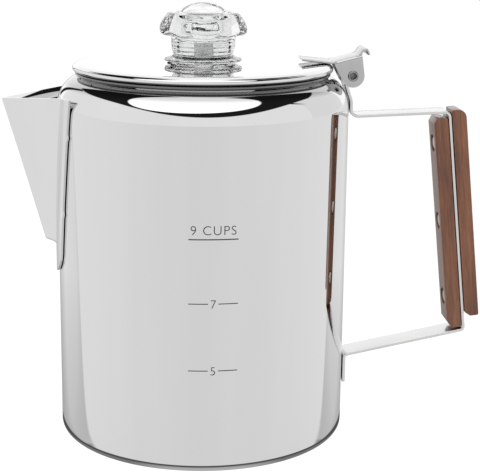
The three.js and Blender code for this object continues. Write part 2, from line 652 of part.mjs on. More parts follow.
function knobGeometry() {
  const lathe = turned(knobOutline(), KNOB_STEPS);
  const { position } = lathe.attributes;
  for (let i = 0; i < position.count; i += 1) {
    const x = position.getX(i);
    const y = position.getY(i);
    const z = position.getZ(i);
    const radius = Math.hypot(x, y);
    const onHead = z > KNOB_HEAD.bottomZ && z < KNOB_HEAD.topZ && radius > KNOB_HEAD.petalR;
    if (onHead) {
      const wave = Math.cos(KNOB_PETALS * Math.atan2(x, -y)) - 1;
      const scale = (radius + wave * PETAL_DEPTH) / radius;
      position.setXY(i, x * scale, y * scale);
    }
  }
  const lugs = Array.from({ length: KNOB_LUGS }, (_, i) => {
    const length = LUG.r - KNOB_BORE_R - LUG_BITE;
    const lug = boxTool(length, LUG.width, LUG.topZ - LUG.bottomZ, LUG.r - length / 2, 0,
      (LUG.topZ + LUG.bottomZ) / 2);
    return lug.rotateZ((i / KNOB_LUGS) * Math.PI * 2);
  });
  return join([lathe, ...lugs]);
}
add('glass_knob', knobGeometry(), knobGlass());

// ---------------------------------------------------------------- pump
add('pump_tube', ring(TUBE_R - TUBE_WALL, TUBE_R, TUBE_BOTTOM_Z, TUBE_TOP_Z, TUBE_STEPS), innerSteel());

// The bell that stands on the pot's base and heats the water under it, notched to let water in.
function footGeometry() {
  const innerR = TUBE_R + GAP;
  const outerR = innerR + FOOT_T;
  const standZ = POT_WALL + GAP;
  const waistR = FOOT_R * FOOT_WAIST.share;
  const path = new THREE.Path();
  path.moveTo(FOOT_R, standZ);
  path.quadraticCurveTo(FOOT_R - FOOT_EDGE.inset, FOOT_EDGE.z, waistR, FOOT_WAIST.z);
  path.quadraticCurveTo(outerR + FOOT_COLLAR.flare, FOOT_COLLAR.bendZ, outerR, FOOT_COLLAR.baseZ);
  path.lineTo(outerR, FOOT_COLLAR.topZ);
  path.lineTo(innerR, FOOT_COLLAR.topZ);
  path.lineTo(innerR, FOOT_UNDERSIDE.baseZ);
  path.quadraticCurveTo(innerR + FOOT_UNDERSIDE.flare, FOOT_UNDERSIDE.bendZ, waistR, FOOT_WAIST.underZ);
  path.quadraticCurveTo(FOOT_R - FOOT_EDGE.underInset, FOOT_EDGE.underZ, FOOT_R - FOOT_T, standZ);
  const bell = turned(tidyPoints(path, 2), SMALL_STEPS);
  const { count, length, width, height } = FOOT_NOTCH;
  const notches = Array.from({ length: count }, (_, i) => {
    const angle = ((i + 0.5) / count) * Math.PI * 2;
    return boxTool(length, width, height, FOOT_R - 1, 0, standZ).rotateZ(angle);
  });
  return cut(bell, notches);
}
add('pump_foot', footGeometry(), innerSteel());

const stopRing = ring(TUBE_R + GAP, STOP_RING.r, STOP_RING.bottomZ, STOP_RING.topZ, SLEEVE_STEPS);
add('basket_stop_ring', stopRing, innerSteel());

// ---------------------------------------------------------------- coffee basket
function sieveHoles(rings, bottom, top) {
  return rings.flatMap(([radius, count]) => Array.from({ length: count }, (_, i) => {
    const angle = (i / count) * Math.PI * 2;
    return drill(SIEVE_HOLE_R, radius * Math.cos(angle), radius * Math.sin(angle), bottom, top);
  }));
}

function basketGeometry() {
  const { r, t, bottomZ, topZ, cornerR } = BASKET;
  const rimR = r + BASKET_RIM.out;
  const hole = SLEEVE.outer + GAP;
  const path = new THREE.Path();
  path.moveTo(hole, bottomZ);
  path.lineTo(r - cornerR, bottomZ);
  path.absarc(r - cornerR, bottomZ + cornerR, cornerR, -Math.PI / 2, 0, false);
  path.lineTo(r, topZ - BASKET_RIM.below);
  path.lineTo(rimR, topZ - BASKET_RIM.below);
  path.lineTo(rimR, topZ + BASKET_RIM.above);
  path.lineTo(r - t, topZ + BASKET_RIM.above);
  path.lineTo(r - t, bottomZ + cornerR);
  path.absarc(r - cornerR, bottomZ + cornerR, cornerR - t, 0, -Math.PI / 2, true);
  path.lineTo(hole, bottomZ + t);
  const cup = turned(tidyPoints(path, 2), SMALL_STEPS);
  return cut(cup, sieveHoles(BASKET_SIEVE, bottomZ - 2 * t, bottomZ + 3 * t));
}
add('basket_cup', basketGeometry(), innerSteel());

// The guide sleeve through the middle of the basket, flanged under its floor.
function sleeveOutline() {
  const flangeZ = BASKET.bottomZ - GAP;
  const lowZ = flangeZ - SLEEVE.flangeT;
  return [
    [SLEEVE.inner, lowZ], [SLEEVE.flangeR, lowZ], [SLEEVE.flangeR, flangeZ], [SLEEVE.outer, flangeZ],
    [SLEEVE.outer, SLEEVE.topZ], [SLEEVE.inner, SLEEVE.topZ],
  ].map(([r, z]) => new THREE.Vector2(r, z));
}
add('basket_sleeve', turned(sleeveOutline(), SLEEVE_STEPS), innerSteel());

// The perforated cover that spreads the water over the coffee.
function spreaderGeometry() {
  const { z, r, t, lipZ, hole, collar } = SPREADER;
  const top = z + t;
  const outline = [
    [hole, z], [r - t, z], [r - t, lipZ], [r, lipZ], [r, top],
    [hole + t, top], [hole + t, top + collar], [hole, top + collar],
  ].map(([radius, height]) => new THREE.Vector2(radius, height));
  const cover = turned(outline, SMALL_STEPS);
  return cut(cover, sieveHoles(SPREADER_SIEVE, z - 2 * t, top + 2 * t));
}
add('basket_lid', spreaderGeometry(), innerSteel());

export default percolator;
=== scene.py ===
"""Looks of the stove-top coffee percolator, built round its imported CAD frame.

Lengths are in millimetres here and become metres when a mesh is made. +X is the handle side, the
camera stands on the -Y side, +Z is up, and the origin is on the pot's axis in the plane of its base.
"""
import math

import bmesh
import bpy
from mathutils import Matrix, Vector
from mathutils.geometry import delaunay_2d_cdt


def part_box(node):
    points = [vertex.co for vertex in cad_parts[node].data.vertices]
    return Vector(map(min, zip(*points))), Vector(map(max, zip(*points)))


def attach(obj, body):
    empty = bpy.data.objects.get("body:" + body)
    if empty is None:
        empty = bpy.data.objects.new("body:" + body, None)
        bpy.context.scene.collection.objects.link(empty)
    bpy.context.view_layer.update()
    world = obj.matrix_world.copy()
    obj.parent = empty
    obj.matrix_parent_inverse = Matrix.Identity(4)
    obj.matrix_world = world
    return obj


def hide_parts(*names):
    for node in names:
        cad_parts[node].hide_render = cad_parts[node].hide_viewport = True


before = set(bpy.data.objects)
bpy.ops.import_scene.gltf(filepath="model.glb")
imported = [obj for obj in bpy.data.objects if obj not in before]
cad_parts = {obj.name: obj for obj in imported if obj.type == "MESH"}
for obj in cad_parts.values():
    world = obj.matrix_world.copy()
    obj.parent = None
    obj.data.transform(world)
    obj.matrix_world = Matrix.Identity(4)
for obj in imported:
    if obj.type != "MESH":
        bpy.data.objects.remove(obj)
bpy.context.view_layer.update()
scene = bpy.context.scene
MM = 0.001


def box_mm(node):
    low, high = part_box(node)
    return low / MM, high / MM


# ---------------- sizes taken from the frame
POT_HIGH = box_mm("body_shell")[1]
SPOUT_LOW = box_mm("spout")[0]
STRAP_LOW, STRAP_HIGH = box_mm("handle_strap")
LID_HIGH = box_mm("lid_shell")[1]
SKIRT_LOW, SKIRT_HIGH = box_mm("lid_skirt_ring")
BRACKET_LOW, BRACKET_HIGH = box_mm("hinge_bracket")
PIN_LOW, PIN_HIGH = box_mm("hinge_pin")
KNOB_LOW, KNOB_HIGH = box_mm("glass_knob")
TUBE_LOW, TUBE_HIGH = box_mm("pump_tube")
FOOT_LOW, FOOT_HIGH = box_mm("pump_foot")
STOP_LOW, STOP_HIGH = box_mm("basket_stop_ring")
CUP_LOW, CUP_HIGH = box_mm("basket_cup")
SLEEVE_LOW, SLEEVE_HIGH = box_mm("basket_sleeve")
COVER_LOW, COVER_HIGH = box_mm("basket_lid")
GRIP_HIGH = box_mm("inner_grip")[1]

GAP = 0.35                         # clearance between neighbouring pieces

# pot
POT_R = POT_HIGH.x
POT_WALL = 0.9
BASE_CORNER_R = 4.2
BASE_RECESS = 0.3                  # how far the middle of the base is stamped up
SHOULDER = {"r": POT_R - 10.5, "z": 148.5, "a": 10.5, "b": 14.0}
NECK_R = 55.6
RIM = {"r": 55.9, "radius": 0.75}
RIM["z"] = POT_HIGH.z - RIM["radius"]

# spout
SPOUT_SHEET = 0.9
SPOUT_MID_R = POT_R + GAP + SPOUT_SHEET / 2
SPOUT_TIP = {"x": -SPOUT_LOW.x, "z": 152.6}
SPOUT_HEEL = {"x": 70.8, "z": 88.0}
SPOUT_TOP_Z = 155.0
SPOUT_MOUTH = 22.9                 # half width between the flange bends at the top
SPOUT_FOOT = 5.2                   # half width between the bends at the heel
FLANGE_TOP = 31.8
FLANGE_HEEL = 19.5
SPOT_WELD_Z = (136.5, 104.0)       # where the flange's edges are welded to the pot

# handle
STRAP_T = 1.4
STRAP_W = 2 * STRAP_HIGH.y
HINGE = {"x": (PIN_LOW.x + PIN_HIGH.x) / 2, "z": (PIN_LOW.z + PIN_HIGH.z) / 2}
STRAP_X = POT_R + GAP + STRAP_T / 2
RUN_TOP = Vector((110.8, 146.8))   # ends of the upright run's centreline, as (x, z)
RUN_FOOT = Vector((122.0, 44.6))
LOWER_ARM_Z = 33.0
GRIP_T = 6.4
GRIP_W = 2 * GRIP_HIGH.y
RIVET_Z = {"top": 132.7, "middle": 96.4, "bottom": 60.2}
SINK_R = 4.0                       # the sunk seat round each rivet's head
SINK_DEPTH = 1.4
RIVET_R = 1.6
RIVET_BORE_R = RIVET_R + GAP

# lid
LID_T = 0.8
LID_BEAD = {"r": 56.55, "z": 166.35, "radius": 1.25}
LID_MIDDLE = 168.0                 # top of the slightly dished middle
LID_CREST = Vector((51.0, 168.5))  # the highest ring, just inside the rolled edge
BOSS_TOP = LID_HIGH.z              # the collar drawn up round the knob's hole
TAB_Z = 170.3                      # middle of the bracket's tab
KNOB_HOLE_R = 13.4
BRACKET_T = 0.9
BRACKET_W = 2 * BRACKET_HIGH.y
EAR_R = 5.1

# knob
KNOB_BORE_R = 10.9
KNOB_PETALS = 10


# ---------------- outlines
def arc(cx, cz, radius, start, end, steps, stretch=1.0):
    """Points on an arc from start to end, in degrees; stretch scales its height."""
    points = []
    for i in range(steps + 1):
        angle = math.radians(start + (end - start) * i / steps)
        points.append((cx + radius * math.cos(angle), cz + radius * stretch * math.sin(angle)))
    return points


def circle(cx, cy, radius, sides):
    """A closed round of points, without the repeated last one."""
    return arc(cx, cy, radius, 0, 360, sides)[:-1]


def straight(a, b, steps):
    return [(a[0] + (b[0] - a[0]) * i / steps, a[1] + (b[1] - a[1]) * i / steps) for i in range(steps + 1)]


def curve(a, control, b, steps):
    """A quadratic curve from a to b."""
    points = []
    for i in range(steps + 1):
        t = i / steps
        weights = ((1 - t) ** 2, 2 * t * (1 - t), t * t)
        points.append(tuple(sum(w * p[k] for w, p in zip(weights, (a, control, b))) for k in (0, 1)))
    return points


def without_repeats(points):
    kept = [points[0]]
    for p in points[1:]:
        if math.dist(p, kept[-1]) > 1e-4:
            kept.append(p)
    return kept


def mix(a, b, t):
    return a + (b - a) * t


def ease(t):
    t = min(max(t, 0.0), 1.0)
    return t * t * (3 - 2 * t)


def fillet(corners, steps=8):
    """A route through corners (u, v, radius), each corner rounded to its radius."""
    points = [Vector(corners[0][:2])]
    for before, here, after in zip(corners, corners[1:], corners[2:]):
        corner = Vector(here[:2])
        if here[2] <= 0:
            points.append(corner)
            continue
        into = (Vector(before[:2]) - corner).normalized()
        away = (Vector(after[:2]) - corner).normalized()
        half = into.angle(away) / 2
        centre = corner + (into + away).normalized() * here[2] / math.sin(half)
        first = corner + into * here[2] / math.tan(half) - centre
        last = corner + away * here[2] / math.tan(half) - centre
        turn = math.atan2(first.x * last.y - first.y * last.x, first.dot(last))
        for i in range(steps + 1):
            points.append(centre + Matrix.Rotation(turn * i / steps, 2) @ first)
    points.append(Vector(corners[-1][:2]))
    return points


def side_normals(points):
    """Unit normals to the left of a route."""
    normals = []
    for i, p in enumerate(points):
        before = points[max(i - 1, 0)]
        after = points[min(i + 1, len(points) - 1)]
        one = (p - before).normalized() if i > 0 else (after - p).normalized()
        two = (after - p).normalized() if i < len(points) - 1 else one
        mean = (one + two).normalized()
        normals.append(Vector((-mean.y, mean.x)) / max(mean.dot(one), 0.5))
    return normals


# ---------------- meshes
def smooth(mesh, angle):
    mesh.polygons.foreach_set("use_smooth", [True] * len(mesh.polygons))
    mesh.set_sharp_from_angle(angle=math.radians(angle))


def build(name, verts, faces, material=None, sharp=35.0):
    """A closed mesh object from points in millimetres, with its faces turned outwards."""
    mesh = bpy.data.meshes.new(name)
    mesh.from_pydata([Vector(v) * MM for v in verts], [], faces)
    work = bmesh.new()
    work.from_mesh(mesh)
    bmesh.ops.remove_doubles(work, verts=work.verts, dist=1e-7)
    bmesh.ops.recalc_face_normals(work, faces=work.faces)
    work.to_mesh(mesh)
    work.free()
    smooth(mesh, sharp)
    obj = bpy.data.objects.new(name, mesh)
    scene.collection.objects.link(obj)
    if material is not None:
        mesh.materials.append(material)
    return obj


def band(one, two):
    """Four-sided faces between two closed rows of indices; a row of one index is a pole."""
    steps = max(len(one), len(two))
    if steps == 1:
        return []
    faces = []
    for k in range(steps):
        n = (k + 1) % steps
        corners = [one[k % len(one)], one[n % len(one)], two[n % len(two)], two[k % len(two)]]
        faces.append(list(dict.fromkeys(corners)))
    return faces


def turned(outline, steps, shape=None):
    """Points and faces of an outline of (radius, height) turned round the Z axis."""
    points = without_repeats(outline)
    open_ended = points[0][0] < 1e-6 and points[-1][0] < 1e-6
    if not open_ended and math.dist(points[0], points[-1]) < 1e-4:
        points.pop()
    verts, rows = [], []
    for r, z in points:
        count = 1 if r < 1e-6 else steps
        rows.append(range(len(verts), len(verts) + count))
        for k in range(count):
            angle = 2 * math.pi * k / steps
            x, y = r * math.cos(angle), r * math.sin(angle)
            verts.append(shape(x, y, z, angle) if shape and count > 1 else (x, y, z))
    pairs = list(zip(rows, rows[1:]))
    if not open_ended:
        pairs.append((rows[-1], rows[0]))
    return verts, [face for pair in pairs for face in band(*pair)]


def lathe(name, outline, steps, material=None, shape=None, sharp=35.0):
    verts, faces = turned(outline, steps, shape)
    return build(name, verts, faces, material, sharp)


def turned_aside(name, outline, steps, turn, centre, material):
    """A turned piece with its axis turned away from Z and moved to a centre."""
    verts, faces = turned(outline, steps)
    return build(name, [turn @ Vector(v) + Vector(centre) for v in verts], faces, material)


def loft(rings):
    """Points and faces over rings of equal length, open at both ends."""
    count = len(rings[0])
    rows = [range(k * count, (k + 1) * count) for k in range(len(rings))]
    verts = [p for ring in rings for p in ring]
    return verts, [face for pair in zip(rows, rows[1:]) for face in band(*pair)]


def capped(rings):
    """Points and faces over rings of equal length, closed by one face at each end."""
    verts, faces = loft(rings)
    count = len(rings[0])
    ends = [list(range(count)), list(range(len(verts) - count, len(verts)))]
    return verts, faces + ends


def skin(rings):
    """A loft over rings made of two facing rows, closed at both ends by strips across them."""
    verts, faces = loft(rings)
    count = len(rings[0])
    for start in (0, len(verts) - count):
        for i in range(count // 2 - 1):
            across = start + count - 1 - i
            faces.append([start + i, start + i + 1, across - 1, across])
    return verts, faces


def bar(route, width, thickness, edge=0.4, edge_steps=4):
    """A flat bar with eased edges along a route in the XZ plane; its width lies along Y."""
    section = []
    half_w, half_t = width / 2 - edge, thickness / 2 - edge
    corners = ((half_w, half_t, 0), (-half_w, half_t, 90), (-half_w, -half_t, 180), (half_w, -half_t, 270))
    for y, offset, start in corners:
        section += arc(y, offset, edge, start, start + 90, edge_steps)
    rings = []
    for p, normal in zip(route, side_normals(route)):
        spots = [(y, p + normal * offset) for y, offset in section]
        rings.append([(q.x, y, q.y) for y, q in spots])
    return capped(rings)


def prism(outline, half_width):
    """An outline in the XZ plane, pushed out to both sides along Y."""
    return capped([[(p[0], y, p[1]) for p in outline] for y in (-half_width, half_width)])


def rods(ends, radius, sides):
    """Points and faces of round rods between pairs of ends."""
    solids = []
    for a, b in ends:
        turn = (Vector(b) - Vector(a)).to_track_quat("Z", "Y")
        spokes = [turn @ Vector((*spoke, 0)) for spoke in circle(0, 0, radius, sides)]
        solids.append(capped([[tuple(Vector(end) + spoke) for spoke in spokes] for end in (a, b)]))
    return merge(*solids)


def settle(obj, sharp=35.0):
    """Applies an object's modifiers to its mesh."""
    bpy.context.view_layer.update()
    graph = bpy.context.evaluated_depsgraph_get()
    mesh = bpy.data.meshes.new_from_object(obj.evaluated_get(graph))
    old = obj.data
    obj.modifiers.clear()
    obj.data = mesh
    bpy.data.meshes.remove(old)
    mesh.name = obj.name
    smooth(mesh, sharp)
    return obj


def combine(obj, operation, verts, faces, sharp=35.0):
    """Cuts, joins or intersects an object with one closed tool."""
    tool = build("tool", verts, faces)
    modifier = obj.modifiers.new("tool", "BOOLEAN")
    modifier.operation = operation
    modifier.solver = "EXACT"
    modifier.object = tool
    settle(obj, sharp)
    mesh = tool.data
    bpy.data.objects.remove(tool)
    bpy.data.meshes.remove(mesh)
    return obj


def merge(*solids):
    """Several lists of points and faces as one."""
    verts, faces = [], []
    for more_verts, more_faces in solids:
        faces += [[i + len(verts) for i in face] for face in more_faces]
        verts += list(more_verts)
    return verts, faces


def around_axis(count, first, outline, half_width):
    """A prism repeated round the Z axis, the first one turned by an angle in degrees."""
    verts, faces = prism(outline, half_width)
    turns = [Matrix.Rotation(math.radians(first + 360 * k / count), 3, "Z") for k in range(count)]
    return merge(*[([turn @ Vector(v) for v in verts], faces) for turn in turns])


def block(left, right, low, high):
    return [(left, low), (right, low), (right, high), (left, high)]


def place(obj, body, slot, *nodes):
    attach(obj, body)
    if nodes:
        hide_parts(*nodes)


# ---------------- materials
class Graph:
    """Short ways to add and join shader nodes."""

    def __init__(self, tree):
        self.tree = tree

    def add(self, kind, **inputs):
        node = self.tree.nodes.new("ShaderNode" + kind)
        for key, value in inputs.items():
            self.feed(node.inputs[key.replace("_", " ")], value)
        return node

    def feed(self, socket, value):
        if isinstance(value, bpy.types.NodeSocket):
            self.tree.links.new(value, socket)
        else:
            socket.default_value = value

    def math(self, operation, *values, clamp=False):
        node = self.tree.nodes.new("ShaderNodeMath")
        node.operation = operation
        node.use_clamp = clamp
        for socket, value in zip(node.inputs, values):
            self.feed(socket, value)
        return node.outputs[0]

    def scaled(self, value, factor, offset, clamp=False):
        """value times factor, plus offset."""
        return self.math("MULTIPLY_ADD", value, factor, offset, clamp=clamp)

    def step(self, value, edge, softness):
        """0 below edge, 1 above it, over a soft width."""
        shifted = self.math("SUBTRACT", value, edge)
        return self.scaled(shifted, 1 / softness, 0.5, clamp=True)

    def blend(self, factor, a, b):
        """Plain mix of two numbers."""
        return self.scaled(factor, self.math("SUBTRACT", b, a), a)

    def lies_below(self, value, edge, softness):
        return self.math("SUBTRACT", 1.0, self.step(value, edge, softness))

    def product(self, first, *others):
        for other in others:
            first = self.math("MULTIPLY", first, other)
        return first

    def length(self, x, y):
        return self.math("SQRT", self.scaled(x, x, self.product(y, y)))

    def axes(self, vector):
        return self.add("SeparateXYZ", Vector=vector).outputs

    def place(self):
        """The object's own coordinates."""
        return self.add("TexCoord").outputs["Object"]

    def coordinates(self, scale=(1, 1, 1), tilt=0.0):
        """The object's own coordinates, leaned about Y by tilt and then scaled."""
        stretch = [1 / s for s in scale]
        mapping = self.add("Mapping", Vector=self.place(), Scale=stretch, Rotation=(0, tilt, 0))
        mapping.vector_type = "TEXTURE"
        return mapping.outputs["Vector"]

    def noise(self, vector, scale, detail=3.0, roughness=0.5):
        node = self.add("TexNoise", Vector=vector, Scale=scale, Detail=detail, Roughness=roughness)
        return node.outputs["Fac"]

    def ramp(self, factor, *stops):
        node = self.tree.nodes.new("ShaderNodeValToRGB")
        self.feed(node.inputs["Fac"], factor)
        elements = node.color_ramp.elements
        while len(elements) < len(stops):
            elements.new(0.5)
        for element, (position, colour) in zip(elements, stops):
            element.position = position
            element.color = (*colour, 1.0)
        return node.outputs["Color"]

    def range(self, factor, low, high):
        """Spreads the middle of a noise between two values."""
        limits = {"From_Min": 0.3, "From_Max": 0.7, "To_Min": low, "To_Max": high}
        return self.add("MapRange", Value=factor, **limits).outputs["Result"]

    def bump(self, height, strength, distance):
        node = self.add("Bump", Height=height, Strength=strength, Distance=distance)
        return node.outputs["Normal"]


class Surface(Graph):
    """A new Principled material and its nodes; settings are the shader's own constant values."""

    def __init__(self, name, **settings):
        self.made = bpy.data.materials.new(name)
        self.made.use_nodes = True
        super().__init__(self.made.node_tree)
        self.inputs = self.tree.nodes["Principled BSDF"].inputs
        for key, value in settings.items():
            self.inputs[key.replace("_", " ")].default_value = value

    def dressed(self, colour, roughness, normal=None):
        """The material, with these fed to its shader."""
        self.feed(self.inputs["Base Color"], colour)
        self.feed(self.inputs["Roughness"], roughness)
        if normal is not None:
            self.feed(self.inputs["Normal"], normal)
        return self.made


def grey(level, warmth=0.0):
    return (level * (1 + warmth), level, level * (1 - warmth))


def steel(name, level, spread, roughness, streak_scale, waviness, warmth=0.0, painted_crevice_shade=False):
    """Polished sheet: faint streaks in colour and gloss, and a slow waviness.

    Painted shade can darken the colour in the crevice between the pot's rim and the lid's rolled edge.
    """
    graph = Surface(name, Metallic=1.0)
    streaks = graph.noise(graph.coordinates(streak_scale), 60.0, 4.0, 0.6)
    tint = graph.ramp(streaks, (0.3, grey(level - spread, warmth)), (0.7, grey(level + spread, warmth)))
    # painted shade in the crevice at the neck and under the lid's rolled edge
    if painted_crevice_shade:
        tint = crevice_shade_tint(graph, tint)
    gloss = graph.range(graph.noise(graph.place(), 28.0, 5.0, 0.65), *roughness)
    swell = graph.noise(graph.place(), 16.0, 1.0, 0.4)
    return graph.dressed(tint, gloss, graph.bump(swell, waviness, 0.001))


# heights in metres where the painted crevice shade begins and ends
CREVICE = {"neck": 0.1592, "gap": 0.1634, "edge": 0.1659}     # heights in metres


def crevice_shade_tint(graph, tint):
    """Painted shade: a colour darkened at the pot's neck, and more under the lid's rolled edge."""
    z = graph.axes(graph.place())["Z"]
    neck = graph.blend(graph.step(z, CREVICE["neck"], 0.0016), 1.0, 0.6)
    gap = graph.blend(graph.step(z, CREVICE["gap"], 0.0004), neck, 0.25)
    kept = graph.blend(graph.step(z, CREVICE["edge"], 0.0004), gap, 1.0)
    dimmer = graph.add("VectorMath")
    dimmer.operation = "SCALE"
    graph.feed(dimmer.inputs[0], tint)
    graph.feed(dimmer.inputs["Scale"], kept)
    return dimmer.outputs["Vector"]


def brushed(name, level, spread, roughness):
    """Turned sheet: rings of fine scratches round the axis."""
    graph = Surface(name, Metallic=1.0)
    x, y, z = graph.axes(graph.place())
    turned_round = graph.add("CombineXYZ", X=graph.length(x, y), Z=z)
    scratches = graph.noise(turned_round.outputs[0], 2600.0, 2.0, 0.5)
    patches = graph.noise(graph.place(), 45.0, 4.0, 0.6)
    tint = graph.ramp(patches, (0.3, grey(level - spread)), (0.7, grey(level + spread)))
    return graph.dressed(tint, graph.range(patches, *roughness), graph.bump(scratches, 0.12, 0.0002))


def oiled_wood(name, tilt):
    """Reddish brown hardwood with its grain along the grip."""
    graph = Surface(name, Coat_Weight=0.7, Coat_Roughness=0.22)
    along = graph.coordinates((1.0, 1.0, 0.05), tilt)
    figure = graph.noise(along, 300.0, 5.0, 0.62)
    fibres = graph.noise(along, 2000.0, 3.0, 0.7)
    patches = graph.noise(graph.coordinates((1.0, 1.0, 0.3)), 70.0, 2.0, 0.5)
    grain = graph.scaled(fibres, 0.42, graph.product(figure, 0.58))
    grain = graph.scaled(graph.math("SUBTRACT", patches, 0.5), 0.35, grain)
    colour = graph.ramp(
        grain,
        (0.34, (0.080, 0.026, 0.011)),
        (0.45, (0.195, 0.064, 0.025)),
        (0.55, (0.300, 0.110, 0.046)),
        (0.66, (0.420, 0.176, 0.086)),
    )
    return graph.dressed(colour, graph.range(figure, 0.34, 0.52), graph.bump(grain, 0.35, 0.0004))


def clear_glass(name):
    graph = Surface(name, Transmission_Weight=1.0, IOR=1.5)
    haze = graph.noise(graph.place(), 90.0, 3.0, 0.5)
    tint = graph.ramp(haze, (0.3, (0.80, 0.812, 0.806)), (0.7, (0.85, 0.86, 0.855)))
    gloss = graph.range(haze, 0.0, 0.02)
    ripple = graph.noise(graph.place(), 170.0, 2.0, 0.5)
    return graph.dressed(tint, gloss, graph.bump(ripple, 0.42, 0.0006))


def etched(name):
    graph = Surface(name, Metallic=0.0)
    worn = graph.noise(graph.place(), 900.0, 3.0, 0.6)
    tint = graph.ramp(worn, (0.25, grey(0.045)), (0.8, grey(0.12)))
    return graph.dressed(tint, graph.range(worn, 0.5, 0.75))


# the mirror steel carries painted shade at the pot's neck and under the lid's rolled edge
MIRROR = steel("mirror_steel", 0.72, 0.012, (0.012, 0.035), (1.0, 1.0, 0.06), 0.02, painted_crevice_shade=True)
PLATE = steel("bracket_steel", 0.50, 0.03, (0.14, 0.22), (1.0, 1.0, 0.1), 0.03, 0.004)
STRAP = steel("strap_steel", 0.66, 0.02, (0.16, 0.24), (1.0, 1.0, 0.1), 0.03, 0.004)
INNER = brushed("inner_steel", 0.62, 0.03, (0.16, 0.28))
RIVET = steel("rivet_steel", 0.66, 0.03, (0.12, 0.25), (1.0, 1.0, 1.0), 0.03, 0.05)
PIVOT = steel("pivot_steel", 0.30, 0.04, (0.12, 0.25), (1.0, 1.0, 1.0), 0.03, 0.02)
GLASS = clear_glass("knob_glass")
MARKS = etched("mark_etching")
run_tilt = math.atan2(RUN_FOOT.x - RUN_TOP.x, RUN_TOP.y - RUN_FOOT.y)
WOOD = oiled_wood("grip_wood", -run_tilt)


# ---------------- pot
def half_width(z):
    """Half width of the spout between its flange bends, at a height."""
    return mix(SPOUT_FOOT, SPOUT_MOUTH, (z - SPOUT_HEEL["z"]) / (SPOUT_TOP_Z - SPOUT_HEEL["z"]))


def pot_shell():
    a, b, centre = SHOULDER["a"], SHOULDER["b"], SHOULDER["r"]
    corner = POT_R - BASE_CORNER_R
    neck = math.degrees(math.acos((NECK_R - centre) / a))
    neck_in = math.degrees(math.acos((NECK_R - POT_WALL - centre) / (a - POT_WALL)))
    squash_out, squash_in = b / a, (b - POT_WALL) / (a - POT_WALL)
    inner_r = POT_R - POT_WALL
    rows = 26
    recess_r, stand_r = 50.0, 52.0
    outline = (
        [(0.0, BASE_RECESS), (30.0, BASE_RECESS), (recess_r, BASE_RECESS)]
        + curve((recess_r, BASE_RECESS), (51.5, BASE_RECESS), (stand_r, 0.0), 4)
        + [(corner, 0.0)]
        + arc(corner, BASE_CORNER_R, BASE_CORNER_R, -90, 0, 12)
        + straight((POT_R, BASE_CORNER_R), (POT_R, SHOULDER["z"]), rows)
        + arc(centre, SHOULDER["z"], a, 0, neck, 28, squash_out)
        + arc(RIM["r"], RIM["z"], RIM["radius"], -60, 180, 20)
        + [(NECK_R - POT_WALL, RIM["z"] - 1.2)]
        + arc(centre, SHOULDER["z"], a - POT_WALL, neck_in, 0, 20, squash_in)
        + straight((inner_r, SHOULDER["z"]), (inner_r, BASE_CORNER_R), rows)
        + arc(corner, BASE_CORNER_R, BASE_CORNER_R - POT_WALL, 0, -90, 8)
        + [(stand_r, POT_WALL), (recess_r, POT_WALL + BASE_RECESS), (0.0, POT_WALL + BASE_RECESS)]
    )
    obj = lathe("pot_shell", outline, 288, MIRROR)
    pitch, radius, rows_of_holes, lowest = 6.5, 1.6, 6, 113.0
    ends = []
    for row in range(rows_of_holes):
        z = lowest + row * pitch
        room = half_width(z) - 4
        for k in range(-4, 5):
            y = k * pitch + (row % 2) * pitch / 2
            if abs(y) <= room:
                ends.append(((-POT_R - 3, y, z), (-POT_R + 12, y, z)))
    combine(obj, "DIFFERENCE", *rods(ends, radius, 20))
    place(obj, "pot", "polished_steel", "body_shell")


pot_shell()


# ---------------- spout
def keel_x(z):
    return mix(SPOUT_HEEL["x"], SPOUT_TIP["x"], (z - SPOUT_HEEL["z"]) / (SPOUT_TIP["z"] - SPOUT_HEEL["z"]))


def flange_half(z):
    below = (z - SPOUT_LOW.z) / (SPOUT_HEEL["z"] - SPOUT_LOW.z)
    if below < 1:
        return FLANGE_HEEL * math.sqrt(max(1 - (1 - below) ** 2, 0.006))
    return mix(FLANGE_HEEL, FLANGE_TOP, (z - SPOUT_HEEL["z"]) / (SPOUT_TOP_Z - SPOUT_HEEL["z"]))


def on_pot(y):
    """How far out the middle of the spout's sheet lies on the pot, at a distance y from its keel."""
    return math.sqrt(SPOUT_MID_R ** 2 - y * y)


def spout_ring(z, depth):
    """One level of the folded sheet as points (x outwards, y), outer row then inner row."""
    weld = max(math.exp(-(((z - w) / 1.0) ** 2)) for w in SPOT_WELD_Z)
    edge = flange_half(z) + 0.7 * weld
    bend = min(half_width(max(z, SPOUT_HEEL["z"])), edge - 0.9)
    fold_r, bend_r = 1.35, 1.7
    half = math.atan2(bend, keel_x(z) - on_pot(bend))
    apex = keel_x(z) - SPOUT_SHEET / 2 + fold_r * (1 / math.sin(half) - 1)
    keel = mix(on_pot(0), apex, depth)
    steps, bend_steps = 7, 8
    arm = [mix(edge, bend + 0.8, i / steps) for i in range(steps + 1)]
    if depth > 0.02:
        corners = [(y, on_pot(y), 0) for y in arm]
        corners += [(bend, on_pot(bend), bend_r * depth), (0, keel, fold_r * depth)]
        mirrored = [(-y, x, r) for y, x, r in corners[:-1]][::-1]
        route = fillet(corners + mirrored, bend_steps)
    else:
        # the same number of points without the bends
        folds = [y for y in (bend, 0, -bend) for _ in range(bend_steps + 1)]
        across = arm + folds + [-y for y in arm[::-1]]
        route = spread_repeats([Vector((y, on_pot(y))) for y in across])
    normals = side_normals(route)
    outer = [p - n * SPOUT_SHEET / 2 for p, n in zip(route, normals)]
    inner = [p + n * SPOUT_SHEET / 2 for p, n in zip(route, normals)]
    if outer[len(outer) // 2].y < inner[len(inner) // 2].y:
        outer, inner = inner, outer
    return [(p.y, p.x) for p in outer] + [(p.y, p.x) for p in inner[::-1]]


